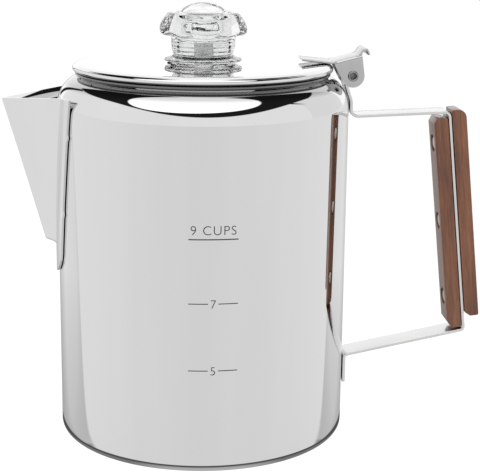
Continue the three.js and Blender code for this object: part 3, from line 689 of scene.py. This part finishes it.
def spread_repeats(route):
    """Moves repeated points of a row apart by a little, so that it keeps a direction everywhere."""
    spread = []
    for i, p in enumerate(route):
        first = i
        while first > 0 and (route[first - 1] - p).length < 1e-6:
            first -= 1
        spread.append(Vector((p.x - 0.04 * (i - first), p.y)))
    return spread


def spout_body():
    heel, tip, low = SPOUT_HEEL["z"], SPOUT_TIP["z"], SPOUT_LOW.z
    levels = [(mix(low, heel - 1.4, 1 - math.cos(math.radians(90 * i / 12))), 0.0) for i in range(13)]
    levels += [(mix(heel - 1.1, heel + 0.9, i / 8), ease(i / 8) * 0.97 + 0.03) for i in range(9)]
    heights = [mix(heel + 1.6, tip, i / 26) for i in range(27)]
    heights += [w + shift for w in SPOT_WELD_Z for shift in (-1.4, -0.7, 0, 0.7, 1.4)]
    levels += [(z, 1.0) for z in sorted(set(heights))]
    rise = (SPOUT_TOP_Z - tip) / (SPOUT_TIP["x"] - POT_R)
    rings = []
    for z, depth in levels:
        lean = ease((z - heel) / (tip - heel)) * rise
        rings.append([(-x, y, z + (SPOUT_TIP["x"] - x) * lean) for x, y in spout_ring(z, depth)])
    obj = build("pouring_spout", *skin(rings), MIRROR, 40.0)
    place(obj, "pot", "polished_steel", "spout")


spout_body()

# ---------------- handle
run_direction = (RUN_FOOT - RUN_TOP).normalized()
run_normal = Vector((-run_direction.y, run_direction.x))


def beside_run(z, offset):
    """A point at height z on the upright run's centreline, then offset along its normal."""
    return RUN_TOP + run_direction * (RUN_TOP.y - z) / -run_direction.y + run_normal * offset


def across_run(z, start, end):
    a, b = beside_run(z, start), beside_run(z, end)
    return ((a.x, 0, a.y), (b.x, 0, b.y))


def handle_strap():
    pin_clearance = 2.1
    curl = pin_clearance + STRAP_T / 2
    loop = [Vector(p) for p in arc(HINGE["x"], HINGE["z"], curl, -54, 180, 28)]
    rest = fillet([
        (HINGE["x"] - curl, HINGE["z"], 0),
        (HINGE["x"] - curl, 159.5, 6),
        (STRAP_X, 151.8, 8),
        (STRAP_X, 144.9, 3.2),
        (RUN_TOP.x, RUN_TOP.y, 2.4),
        (RUN_FOOT.x, RUN_FOOT.y, 1.8),
        (STRAP_X, LOWER_ARM_Z, 2),
        (STRAP_X, STRAP_LOW.z, 0),
    ], 10)
    obj = build("strap", *bar(loop + rest[1:], STRAP_W, STRAP_T, 0.38), STRAP, 30.0)
    bores = [across_run(z, -STRAP_T, STRAP_T) for z in RIVET_Z.values()]
    combine(obj, "DIFFERENCE", *rods(bores, RIVET_BORE_R, 24), 30.0)
    place(obj, "pot", "strap_steel", "handle_strap")


handle_strap()

grip_inner = STRAP_T / 2 + GAP
grip_outer = grip_inner + GRIP_T


def grip(name, outline, side, node):
    """A wooden scale with eased edges and a sunk seat for each rivet."""
    obj = build(name, *prism(outline, GRIP_W / 2), WOOD)
    easing = obj.modifiers.new("eased", "BEVEL")
    easing.width = 0.75 * MM
    easing.segments = 4
    easing.limit_method = "ANGLE"
    easing.angle_limit = math.radians(18)
    settle(obj)
    seat = (grip_outer - SINK_DEPTH, grip_outer + 2, SINK_R, 40)
    bore = (grip_inner - 1, grip_outer + 1, RIVET_BORE_R, 24)
    for start, end, radius, sides in (seat, bore):
        ends = [across_run(z, side * start, side * end) for z in RIVET_Z.values()]
        combine(obj, "DIFFERENCE", *rods(ends, radius, sides))
    place(obj, "pot", "grip_wood", node)


def scale_outline(*corners):
    """An outline through (height, offset, radius) corners beside the run."""
    route = [(*beside_run(z, offset), radius) for z, offset, radius in corners]
    points = fillet([route[-1], *route, route[0]], 5)
    return without_repeats([tuple(p) for p in points[1:-1]])


grip("grip_scale_inner", scale_outline(
    (143.9, -grip_inner, 0.3), (144.7, -grip_outer + 1.8, 0.6), (142.2, -grip_outer, 0.8),
    (49.4, -grip_outer, 1.2), (46.4, -grip_outer + 1.8, 0.8), (46.3, -grip_inner, 0.3)), -1, "inner_grip")
grip("grip_scale_outer", scale_outline(
    (53.0, grip_inner, 0.4), (51.0, grip_inner + 2.4, 0.6), (51.0, grip_outer, 0.8),
    (147.6, grip_outer, 3.8), (147.6, grip_inner, 0.4)), 1, "outer_grip")


def grip_rivet(place_name, z):
    """A domed rivet through both scales and the strap."""
    head, shank, dome, seat = 3.4, RIVET_R, 0.9, grip_outer - SINK_DEPTH + GAP
    profile = (
        [(0, -seat - dome)] + curve((0, -seat - dome), (head * 0.8, -seat - dome), (head, -seat), 8)
        + [(shank, -seat), (shank, seat), (head, seat)]
        + curve((head, seat), (head * 0.8, seat + dome), (0, seat + dome), 8)
    )
    x, height = beside_run(z, 0)
    turn = Vector((run_normal.x, 0, run_normal.y)).to_track_quat("Z", "Y")
    obj = turned_aside(f"rivet_{place_name}", profile, 40, turn, (x, 0, height), RIVET)
    place(obj, "pot", "rivet_steel", f"grip_rivet_{place_name}")


for place_name, height in RIVET_Z.items():
    grip_rivet(place_name, height)


# ---------------- lid
def lid_shell():
    bead, crest, reach = LID_BEAD, LID_CREST, 17.0
    rolled = 65                    # where the bead meets the top, in degrees
    shoulder = arc(bead["r"], bead["z"], bead["radius"], rolled, rolled, 1)[0]
    radii = [mix(reach, crest.x, i / 18) for i in range(19)]
    dish = [(r, mix(LID_MIDDLE, crest.y, ease((r - 20) / (crest.x - 20)))) for r in radii]
    outline = (
        [(KNOB_HOLE_R, LID_MIDDLE - LID_T)]
        + [(r, z - LID_T) for r, z in dish]
        + curve((crest.x, crest.y - LID_T), (53.8, crest.y - LID_T), (54.9, 167.3), 6)
        + [(bead["r"] - bead["radius"], bead["z"])]
        + arc(bead["r"], bead["z"], bead["radius"], 180, 360 + rolled, 30)
        + curve(shoulder, (56.2, crest.y - 0.2), (54.5, crest.y - 0.06), 12)[1:]
        + [(52.5, crest.y - 0.01)]
        + dish[::-1]
        + curve((reach, LID_MIDDLE), (14.7, LID_MIDDLE), (14.35, BOSS_TOP - 0.3), 6)
        + [(14.1, BOSS_TOP), (KNOB_HOLE_R + 0.15, BOSS_TOP), (KNOB_HOLE_R, BOSS_TOP - 0.15)]
    )
    obj = lathe("lid_dish", outline, 256, MIRROR)
    low, high, width = LID_MIDDLE - 3, BOSS_TOP + 3, 8.0
    combine(obj, "DIFFERENCE", *around_axis(3, 60, block(6, 15.9, low, high), width / 2))
    place(obj, "lid", "polished_steel", "lid_shell")


def lid_skirt():
    outer, t, seat = SKIRT_HIGH.x, 0.8, 50.5
    top, low = SKIRT_HIGH.z, SKIRT_LOW.z
    bend = 1.0
    outline = (
        arc(outer - t / 2, low + t / 2, t / 2, 180, 360, 8)
        + [(outer, top - bend)] + arc(outer - bend, top - bend, bend, 0, 90, 6)
        + [(seat, top), (seat, top - t)]
        + arc(outer - bend - 0.2, top - t - 0.2, 0.2, 90, 0, 3)
        + [(outer - t, top - t - 0.4)]
    )
    obj = lathe("lid_collar", outline, 224, MIRROR)
    place(obj, "lid", "polished_steel", "lid_skirt_ring")


def hinge_bracket():
    """One bent plate: tab on the lid, rising bridge with two ears folded down, and the thumb lift."""
    tab = Vector((BRACKET_LOW.x, TAB_Z))
    crease = Vector((56.6, 168.9))
    bridge_end = Vector((68.9, 172.1))
    along = (bridge_end - crease).normalized()
    up = Vector((-along.y, along.x))
    fold = 1.55
    half, t = BRACKET_W / 2, BRACKET_T
    leg = 16.0

    def folded_side(inset):
        """Half a section of the folded plate and its mirror image, that far inside its outer face."""
        side = [(half - inset, -leg)] + arc(half - fold, t / 2 - fold, fold - inset, 0, 90, 8)
        return side + [(-y, v) for y, v in side[::-1]]

    section = folded_side(0) + folded_side(t)[::-1]
    rings = []
    for s in (0.9, 4.0, 8.0, 15.5):
        spots = [(y, crease + along * s + up * v) for y, v in section]
        rings.append([(p.x, y, p.y) for y, p in spots])
    obj = build("bracket", *skin(rings), PLATE)
    lower_left = math.degrees(math.pi + 0.35)
    silhouette = (
        [(70.05, 172.6), (69.55, 173.6), (57.2, 170.5), (57.9, 168.2)]
        + arc(HINGE["x"], HINGE["z"], EAR_R, lower_left, 371, 40)
    )
    combine(obj, "INTERSECT", *prism(silhouette, half + 1))
    pin_hole = [(HINGE["x"], y, HINGE["z"]) for y in (-12, 12)]
    combine(obj, "DIFFERENCE", *rods([pin_hole], 2.1, 40))
    flat = fillet([(*tab, 0), (*crease, 1.6), (*(crease + along * 2.2), 0)], 10)
    start = bridge_end - along * 1.5
    lift = fillet([(*start, 0), (*bridge_end, 2.0), (71.7, 176.3, 1.25), (73.3, 172.6, 0)], 12)
    combine(obj, "UNION", *bar(flat, BRACKET_W, t, 0.28, 3))
    combine(obj, "UNION", *bar(lift, BRACKET_W - 0.6, t, 0.28, 3), 30.0)
    place(obj, "lid", "polished_steel", "hinge_bracket")


def hinge_pin():
    """A hollow rivet with a rounded flare outside each ear."""
    bore, shank, head = 1.35, 1.75, (PIN_HIGH.z - PIN_LOW.z) / 2
    inside = BRACKET_W / 2 + GAP
    roll = (head - bore) / 2
    flare = arc(bore + roll, inside, roll, 0, 180, 14, 0.55 / roll)
    web = 0.6                      # half thickness of the metal left across the middle
    outline = [(0, web), (bore, web)] + flare[::-1] + [(shank, inside), (shank, -inside)]
    outline += [(r, -z) for r, z in flare] + [(bore, -web), (0, -web)]
    turn = Matrix.Rotation(math.pi / 2, 3, "X")
    obj = turned_aside("pivot_rivet", outline, 48, turn, (HINGE["x"], 0, HINGE["z"]), PIVOT)
    place(obj, "lid", "rivet_steel", "hinge_pin")


lid_shell()
lid_skirt()
hinge_bracket()
hinge_pin()


# ---------------- glass knob
def glass_knob():
    """Pressed glass: threaded foot, flange, waisted neck and a scalloped head over a hollow."""
    seat = BOSS_TOP + GAP
    head_low, head_high = 180.5, 190.4
    foot_r, lug_r, lug_low, lug_high, lug_width = 13.0, 15.4, 164.4, 166.75, 5.5
    lug_half_angle = math.asin(lug_width / 2 / lug_r)
    neck, waist, underside = (13.35, 172.2), (14.1, 177.6), (15.8, head_low)
    widest, side, brow = (19.3, 182.0), (18.9, 185.6), (16.2, 189.8)
    shelf, dome_foot, hollow, bore_top = (14.4, head_high), (10.4, 191.2), (9.6, 185.2), 179.0
    outline = (
        [(KNOB_BORE_R, KNOB_LOW.z)]
        + arc(12.6, KNOB_LOW.z + 0.4, 0.4, -90, 0, 4)
        + [(foot_r, 163.0), (foot_r, lug_low - 0.1), (foot_r, lug_low), (foot_r, 165.6), (foot_r, lug_high)]
        + [(foot_r, lug_high + 0.1), (foot_r, seat)]
        + arc(16.5, seat + 0.7, 0.7, -90, 90, 10)
        + curve((15.9, seat + 1.42), (13.4, 170.9), neck, 6)
        + curve(neck, (14.1, 174.6), waist, 6)
        + curve(waist, (14.1, head_low), underside, 8)
        + curve(underside, (18.7, head_low), widest, 8)
        + curve(widest, (19.9, 183.3), side, 8)
        + curve(side, (18.0, 187.6), brow, 8)
        + curve(brow, (15.6, head_high), shelf, 5)
        + curve(shelf, (10.8, 190.6), dome_foot, 8)
        + curve(dome_foot, (6.0, 194.7), (0.0, KNOB_HIGH.z), 16)
        + curve((0.0, 189.4), (7.4, 189.3), hollow, 12)
        + curve(hollow, (10.6, 182.6), (KNOB_BORE_R, bore_top), 8)
        + [(KNOB_BORE_R + 0.12 * math.sin(k * math.pi / 3), bore_top - 0.4 - 0.3 * k) for k in range(1, 42)]
    )

    def pressed(x, y, z, angle):
        """Three locking lugs on the foot, and the head's scallops."""
        r = math.hypot(x, y)
        if r < 11.2 and z < bore_top:
            flute = 1 + 0.016 * math.cos(KNOB_PETALS * angle)
            return (x * flute, y * flute, z)
        if lug_low <= z <= lug_high and r > foot_r - 0.01:
            from_lug = (angle + math.pi / 3) % (2 * math.pi / 3) - math.pi / 3
            return (x * lug_r / r, y * lug_r / r, z) if abs(from_lug) < lug_half_angle else (x, y, z)
        if r < 13.5 or z < head_low - 1.6 or z > head_high + 0.4:
            return (x, y, z)
        # cusps between lobes, deepest at the head's widest level
        lobe = abs(math.sin(KNOB_PETALS * angle / 2))
        depth = ease((r - 13.5) / 4.0)
        low = ease((184.5 - z) / 4.0)
        scale = 1 - 0.026 * depth * (1 - lobe) ** 1.5
        return (x * scale, y * scale, z + 0.75 * depth * low * (1 - lobe) ** 1.2)

    obj = lathe("knob_glass_body", outline, 240, GLASS, pressed, 50.0)
    place(obj, "knob", "knob_glass", "glass_knob")


glass_knob()


# ---------------- pump
def ring_outline(inner, outer, low, high, ease_r=0.15):
    return (
        arc(outer - ease_r, low + ease_r, ease_r, -90, 0, 3)
        + arc(outer - ease_r, high - ease_r, ease_r, 0, 90, 3)
        + arc(inner + ease_r, high - ease_r, ease_r, 90, 180, 3)
        + arc(inner + ease_r, low + ease_r, ease_r, 180, 270, 3)
    )


def pump():
    tube_r, tube_wall = TUBE_HIGH.x, 0.6
    tube = lathe("riser_tube", ring_outline(tube_r - tube_wall, tube_r, TUBE_LOW.z, TUBE_HIGH.z), 64, INNER)
    place(tube, "pump", "inner_steel", "pump_tube")

    foot_r, t = FOOT_HIGH.x, 0.8
    stand, top = FOOT_LOW.z, FOOT_HIGH.z
    collar = tube_r + GAP
    outline = (
        [(foot_r, stand)]
        + curve((foot_r, stand), (foot_r - 1.5, 7.2), (foot_r * 0.6, 8.2), 18)
        + curve((foot_r * 0.6, 8.2), (collar + t + 1, 9.2), (collar + t, 14), 14)
        + [(collar + t, top), (collar, top), (collar, 9.4)]
        + curve((collar, 9.4), (collar + 2.5, 8), (foot_r * 0.6, 7.4), 12)
        + curve((foot_r * 0.6, 7.4), (foot_r - 2.6, 6.4), (foot_r - t, stand), 18)
    )
    foot = lathe("pump_bell", outline, 160, INNER)
    combine(foot, "DIFFERENCE", *around_axis(4, 45, block(foot_r - 5, foot_r + 3, -2, 2.8), 4.5))
    place(foot, "pump", "inner_steel", "pump_foot")

    collar_outline = ring_outline(collar, STOP_HIGH.x, STOP_LOW.z, STOP_HIGH.z, 0.4)
    stop = lathe("basket_rest", collar_outline, 96, INNER)
    place(stop, "pump", "inner_steel", "basket_stop_ring")


pump()


# ---------------- coffee basket
def hole_rings(first, last, pitch):
    """Centres of holes in rings a pitch apart, filling the space between two radii."""
    centres = []
    rings = int((last - first) / pitch) + 1
    for k in range(rings):
        r = first + k * pitch
        count = int(2 * math.pi * r / pitch)
        for i in range(count):
            angle = 2 * math.pi * (i + 0.5 * (k % 2)) / count
            centres.append((r * math.cos(angle), r * math.sin(angle)))
    return centres


def perforated_plate(inner, outer, low, high, centres, hole_r, steps, sides=10):
    """A flat ring pierced by round holes, as points and faces."""
    loops = [circle(0, 0, r, steps) for r in (outer, inner)]
    loops += [circle(*centre, hole_r, sides) for centre in centres]
    flat, edges = [], []
    for loop in loops:
        start = len(flat)
        flat += [Vector(p) for p in loop]
        edges += [(start + k, start + (k + 1) % len(loop)) for k in range(len(loop))]
    points, _, triangles, *_ = delaunay_2d_cdt(flat, edges, [], 0, 1e-6)
    kept = []
    for face in triangles:
        centre = sum((points[i] for i in face), Vector((0, 0))) / len(face)
        near = any((centre - Vector(c)).length < hole_r * 0.97 for c in centres)
        if inner < centre.length < outer and not near:
            kept.append(list(face))
    count = len(points)
    verts = [(p.x, p.y, z) for z in (high, low) for p in points]
    faces = kept + [[i + count for i in face] for face in kept]
    sides_of_faces = {pair for face in kept for pair in zip(face, face[1:] + face[:1])}
    faces += [[a, b, b + count, a + count] for a, b in sides_of_faces if (b, a) not in sides_of_faces]
    return verts, faces


def open_seam(solid, *radii):
    """Drops the upright faces at the radii where two skins are joined into one."""
    verts, faces = solid

    def stands_on(face, r):
        return len(face) == 4 and all(abs(math.hypot(*verts[i][:2]) - r) < 1e-4 for i in face)

    return verts, [face for face in faces if not any(stands_on(face, r) for r in radii)]


def basket():
    t, steps = 0.8, 160
    low, top, r = CUP_LOW.z, CUP_HIGH.z, CUP_HIGH.x - 1.2
    corner, roll = 3.0, 0.55
    floor_r = r - corner
    wall = (
        [(floor_r, low)] + arc(floor_r, low + corner, corner, -90, 0, 8)
        + straight((r, low + corner), (r, top - 1.6), 10)
        + arc(r + 0.65, top - roll, roll, 180, 0, 6) + arc(r + 0.65, top - roll, roll, 0, 90, 4)
        + arc(r - t + 0.4, top - 0.4, 0.4, 90, 180, 4)
        + straight((r - t, top - 1.6), (r - t, low + corner), 10)
        + arc(floor_r, low + corner, corner - t, 0, -90, 6)
    )
    centres = hole_rings(10.5, floor_r - 3.5, 4.2)
    plate = perforated_plate(6.0 + GAP, floor_r, low, low + t, centres, 0.85, steps)
    shell = merge(open_seam(turned(wall, steps), floor_r), open_seam(plate, floor_r))
    cup = build("coffee_basket", *shell, INNER)
    place(cup, "basket", "inner_steel", "basket_cup")

    bore, outside, edge = 5.3, 6.0, 0.35
    flange_r, flange_low, flange_high = SLEEVE_HIGH.x, SLEEVE_LOW.z, CUP_LOW.z - GAP
    outline = [(bore, flange_low), (flange_r, flange_low), (flange_r, flange_high), (outside, flange_high)]
    outline += arc(outside - edge, SLEEVE_HIGH.z - edge, edge, 0, 180, 8)
    sleeve = lathe("guide_sleeve", outline, 96, INNER)
    place(sleeve, "basket", "inner_steel", "basket_sleeve")


def cover():
    """The perforated plate over the coffee, with a rolled lip and a raised collar round the tube."""
    t, steps = 0.8, 160
    r, lip = COVER_HIGH.x, COVER_LOW.z
    deck, hole = 147.0, 6.9
    top = deck + t
    outer_edge, inner_edge = r - 2.2, hole + 2.2
    rim = (
        [(outer_edge, deck), (r - t - 0.5, deck)] + arc(r - t - 0.5, deck - 0.5, 0.5, 90, 0, 4)
        + [(r - t, lip)] + arc(r - t / 2, lip + 0.2, t / 2, 180, 360, 6)
        + arc(r - 1.3, top - 1.3, 1.3, 0, 90, 8) + [(outer_edge, top)]
    )
    collar = (
        [(inner_edge, top)] + curve((inner_edge, top), (hole + t, top), (hole + t, top + 1.0), 6)
        + arc(hole + t / 2, COVER_HIGH.z - t / 2, t / 2, 0, 180, 8)
        + [(hole, top)] + curve((hole, top), (hole, deck), (hole + 0.8, deck), 4)
        + [(inner_edge, deck)]
    )
    centres = hole_rings(inner_edge + 2.4, outer_edge - 2.0, 4.6)
    plate = perforated_plate(inner_edge, outer_edge, deck, top, centres, 0.95, steps)
    seams = (inner_edge, outer_edge)
    solids = [open_seam(solid, *seams) for solid in (turned(rim, steps), turned(collar, steps), plate)]
    obj = build("spreader_plate", *merge(*solids), INNER)
    place(obj, "spreader", "inner_steel", "basket_lid")


basket()
cover()


# ---------------- cup marks
MARK_AZIMUTH = 1.1                 # degrees from -Y towards +X
MARK_LENGTH = 20.8
MARK_SINK = 0.02                   # how far the marks reach into the steel
MARK_PROUD = 0.03
TOP_MARK_Z = 103.1
LOWER_MARKS = {"7": 75.6, "5": 46.4}
CAPITAL_SHARE = 0.729              # a capital's height, per unit of font size


def wrapped(x, z, proud):
    """A point x along the wall from the marks' centre, at height z."""
    angle = math.radians(MARK_AZIMUTH - 90) + x / POT_R
    r = POT_R + proud
    return (r * math.cos(angle), r * math.sin(angle), z)


def mark_line(start, end, z, weight):
    """A thin bar wrapped on the wall."""
    steps = max(int((end - start) / 0.6), 4)
    half = weight / 2
    section = ((-half, -MARK_SINK), (half, -MARK_SINK), (half, MARK_PROUD), (-half, MARK_PROUD))
    spots = [mix(start, end, i / steps) for i in range(steps + 1)]
    return capped([[wrapped(x, z + dz, proud) for dz, proud in section] for x in spots])


def mark_text(text, centre_x, base_z, height, spacing=1.0, thinner=0.0, stretch=1.0):
    """Lettering wrapped on the wall, its capital height given."""
    font = bpy.data.curves.new("lettering", "FONT")
    font.body = text
    font.align_x = "CENTER"
    font.size = height / CAPITAL_SHARE
    font.space_character = spacing
    font.offset = thinner
    font.resolution_u = 6
    font.fill_mode = "FRONT"
    carrier = bpy.data.objects.new("lettering", font)
    scene.collection.objects.link(carrier)
    bpy.context.view_layer.update()
    flat = bpy.data.meshes.new_from_object(carrier.evaluated_get(bpy.context.evaluated_depsgraph_get()))
    work = bmesh.new()
    work.from_mesh(flat)
    bmesh.ops.remove_doubles(work, verts=work.verts, dist=1e-5)
    span = max(abs(v.co.x) for v in work.verts) + 0.5
    cuts = int(2 * span / 0.7)
    for i in range(1, cuts):
        x = mix(-span, span, i / cuts)
        everything = work.verts[:] + work.edges[:] + work.faces[:]
        bmesh.ops.bisect_plane(work, geom=everything, plane_co=(x, 0, 0), plane_no=(1, 0, 0))
    pushed = bmesh.ops.extrude_face_region(work, geom=work.faces[:])
    raised = {v for v in pushed["geom"] if isinstance(v, bmesh.types.BMVert)}
    work.verts.index_update()
    verts = []
    for v in work.verts:
        proud = MARK_PROUD if v in raised else -MARK_SINK
        verts.append(wrapped(centre_x + v.co.x * stretch, base_z + v.co.y, proud))
    faces = [[v.index for v in f.verts] for f in work.faces]
    work.free()
    bpy.data.objects.remove(carrier)
    bpy.data.curves.remove(font)
    bpy.data.meshes.remove(flat)
    return verts, faces


def cup_marks():
    half = MARK_LENGTH / 2
    gap = 2.15
    solids = [
        mark_line(-half, half, TOP_MARK_Z, 0.5),
        mark_text("9 CUPS", 0, 105.0, 4.1, 1.12, -0.06),
    ]
    for text, z in LOWER_MARKS.items():
        solids.append(mark_line(-half, -gap, z, 0.4))
        solids.append(mark_line(gap, half, z, 0.4))
        solids.append(mark_text(text, 0, z - 1.95, 3.9, 1.0, -0.06))
    obj = build("cup_marks", *merge(*solids), MARKS)
    place(obj, "pot", "polished_steel")


cup_marks()


# ---------------- studio
def floor_plane(name, material_used):
    half = 20.0
    mesh = bpy.data.meshes.new(name)
    mesh.from_pydata([(*p, 0) for p in block(-half, half, -half, half)], [], [(0, 1, 2, 3)])
    mesh.materials.append(material_used)
    obj = bpy.data.objects.new(name, mesh)
    scene.collection.objects.link(obj)
    return obj


def seen_floor():
    """Near-white matt floor."""
    matt = {"Base_Color": (0.3, 0.3, 0.3, 1), "Roughness": 0.9, "Specular_IOR_Level": 0.0}
    glow = {"Emission_Color": (1, 1, 1, 1), "Emission_Strength": 1.0}
    obj = floor_plane("floor", Surface("studio_floor", **matt, **glow).made)
    obj.location.z = -0.0003
    obj.visible_glossy = False
    obj.visible_diffuse = False


CONTACT_R, DARK_RING_R = 0.0665, 0.0703   # edges of the shade close to the base, in metres


def table_level(graph):
    """How bright the table looks to the steel, over its whole plane: painted light and shade."""
    x, y, _ = graph.axes(graph.place())
    sideways = graph.math("ABSOLUTE", x)
    radius = graph.math("MAXIMUM", graph.length(x, y), 0.001)
    # painted light: the table is a little dimmer in front than beside the pot
    backwards = graph.math("DIVIDE", y, radius)
    lit = graph.math("SQRT", graph.scaled(backwards, 0.5, 0.504))
    lit = graph.scaled(lit, 0.135, 0.856)
    # painted shadow: the pot's own shade spreads backwards from its sides
    edge = graph.scaled(sideways, 0.45, -0.068)
    edge = graph.scaled(graph.product(x, x), 0.31, edge)
    depth = graph.math("SUBTRACT", y, edge)
    far = graph.scaled(radius, 4.0, -0.32, clamp=True)
    behind = graph.math("MAXIMUM", graph.math("ADD", y, 0.036), 0.004)
    spread = graph.math("DIVIDE", graph.math("SUBTRACT", sideways, 0.06), behind)
    open_side = graph.scaled(spread, 2.22, -0.444, clamp=True)
    inside = graph.math("MULTIPLY", depth, 40.0, clamp=True)
    shades = ((far, 0.70, 0.91), (open_side, 0.6, 1.0), (inside, 0.88, 1.0))
    shade = graph.product(*[graph.blend(*step) for step in shades])
    level = graph.blend(graph.step(depth, 0.0, 0.003), lit, shade)
    # a painted dark contact shadow ring close to the base, lighter under the front of its rounded corner
    front = graph.scaled(backwards, -8.0, -6.8, clamp=True)
    contact_shadow = graph.blend(graph.step(radius, CONTACT_R, 0.002), graph.blend(front, 0.24, 0.55), 0.09)
    return graph.blend(graph.step(radius, DARK_RING_R, 0.001), contact_shadow, level)


def mirrored_floor():
    """The table as the polished steel sees it: a glowing plane, bright in front, with the pot's soft shade
    painted behind it.
    """
    made = bpy.data.materials.new("studio_table")
    made.use_nodes = True
    made.node_tree.nodes.clear()
    graph = Graph(made.node_tree)
    glow = graph.add("Emission", Strength=table_level(graph))
    graph.add("OutputMaterial", Surface=glow.outputs[0])
    obj = floor_plane("mirrored_table", made)
    obj.visible_camera = False
    obj.visible_diffuse = False
    obj.visible_shadow = False
    obj.visible_transmission = False


seen_floor()
mirrored_floor()

ROOM = {"dark": 0.014, "wall": 1.0, "right": 0.92, "back": 1.19, "lamp": 1.6}   # levels of light
LEFT_SEAM = (0.8175, 0.286, 0.4996)     # directions square to the dark seams in the walls
RIGHT_SEAM = (-0.3276, 0.8155, 0.4772)
RIGHT_WALL_TOP = 36.8                   # degrees above the horizon, behind the pot on the right
LAMP = {"x": -0.2, "y": -0.6, "half_x": 0.9, "half_y": 0.82}    # per unit of height


def room_level(graph):
    """A white sweep, a dark room above and beside it, and a round overhead light, by direction."""
    x, y, z = graph.axes(graph.add("TexCoord").outputs["Generated"])
    flat = graph.scaled(x, x, graph.product(y, y))
    flat = graph.math("MAXIMUM", flat, 1e-5)
    sideways = graph.math("DIVIDE", graph.product(x, x), flat)
    wall_top = graph.scaled(sideways, math.radians(16), math.radians(23))
    behind_right = graph.product(graph.step(x, 0.0, 0.02), graph.step(y, 0.0, 0.02))
    right_top = graph.product(behind_right, math.radians(RIGHT_WALL_TOP))
    wall_top = graph.math("MAXIMUM", wall_top, right_top)
    above = graph.math("SUBTRACT", graph.math("ARCSINE", z), wall_top)
    wall = graph.lies_below(above, 0.0, 0.02)
    left = graph.step(graph.scaled(x, 1.73, y), 0.0, 0.03)
    right = graph.step(graph.scaled(x, -1.11, y), 0.0, 0.03)

    def seam_line(normal, half_width):
        """1 on the great circle square to a direction, 0 away from it."""
        along = graph.product(x, normal[0])
        along = graph.scaled(y, normal[1], along)
        along = graph.scaled(z, normal[2], along)
        return graph.lies_below(graph.math("ABSOLUTE", along), half_width, 0.02)

    on_left = graph.step(graph.product(x, -1.0), 0.25, 0.05)
    left_seam = graph.product(seam_line(LEFT_SEAM, 0.035), on_left, graph.lies_below(z, 0.48, 0.02))
    on_right = graph.step(x, 0.25, 0.05)
    right_seam = graph.product(seam_line(RIGHT_SEAM, 0.03), on_right, graph.step(z, 0.545, 0.147))

    height = graph.math("MAXIMUM", z, 0.02)
    offsets = []
    for part, centre, half in ((x, "x", "half_x"), (y, "y", "half_y")):
        shifted = graph.math("SUBTRACT", graph.math("DIVIDE", part, height), LAMP[centre])
        offsets.append(graph.math("DIVIDE", shifted, LAMP[half]))
    lamp = graph.product(graph.lies_below(graph.length(*offsets), 1.0, 0.04), graph.step(z, 0.1, 0.02))

    level = graph.blend(wall, ROOM["dark"], graph.blend(behind_right, ROOM["wall"], ROOM["right"]))
    level = graph.blend(graph.product(left, right), level, ROOM["back"])
    for share, name in ((left_seam, "dark"), (right_seam, "dark"), (lamp, "lamp")):
        level = graph.blend(share, level, ROOM[name])
    return level


def studio_world():
    world = bpy.data.worlds.new("studio")
    scene.world = world
    world.use_nodes = True
    graph = Graph(world.node_tree)
    background = world.node_tree.nodes["Background"]
    background.inputs["Color"].default_value = (1, 1, 1, 1)
    graph.feed(background.inputs["Strength"], room_level(graph))
    world.cycles_visibility.diffuse = False


def area_light(name, location, target, size, power):
    data = bpy.data.lights.new(name, "AREA")
    data.shape = "DISK"
    data.size = size
    data.energy = power
    obj = bpy.data.objects.new(name, data)
    obj.location = location
    direction = Vector(target) - Vector(location)
    obj.rotation_euler = direction.to_track_quat("-Z", "Y").to_euler()
    scene.collection.objects.link(obj)
    obj.visible_glossy = False
    obj.visible_camera = False
    obj.visible_transmission = False


studio_world()
area_light("soft_front", (-0.45, -0.9, 0.75), (0.0, 0.0, 0.08), 0.9, 7.0)
area_light("soft_side", (0.9, -0.5, 0.5), (0.05, 0.0, 0.09), 0.7, 3.0)


# ---------------- camera
def camera():
    distance, height, turn = 623.4, 239.7, math.radians(3.0)
    yaw, pitch, roll = math.radians(4.583), math.radians(13.618), math.radians(0.639)
    data = bpy.data.cameras.new("camera")
    data.sensor_width = 36.0
    data.lens = 105.15
    data.clip_start = 0.02
    data.clip_end = 60.0
    obj = bpy.data.objects.new("camera", data)
    obj.location = Vector((-distance * math.sin(turn), -distance * math.cos(turn), height)) * MM
    turns = ((-yaw, "Z"), (math.pi / 2 - pitch, "X"), (roll, "Z"))
    one, two, three = (Matrix.Rotation(angle, 4, axis) for angle, axis in turns)
    obj.rotation_euler = (one @ two @ three).to_euler()
    scene.collection.objects.link(obj)
    scene.camera = obj


camera()
scene.view_settings.view_transform = "Standard"
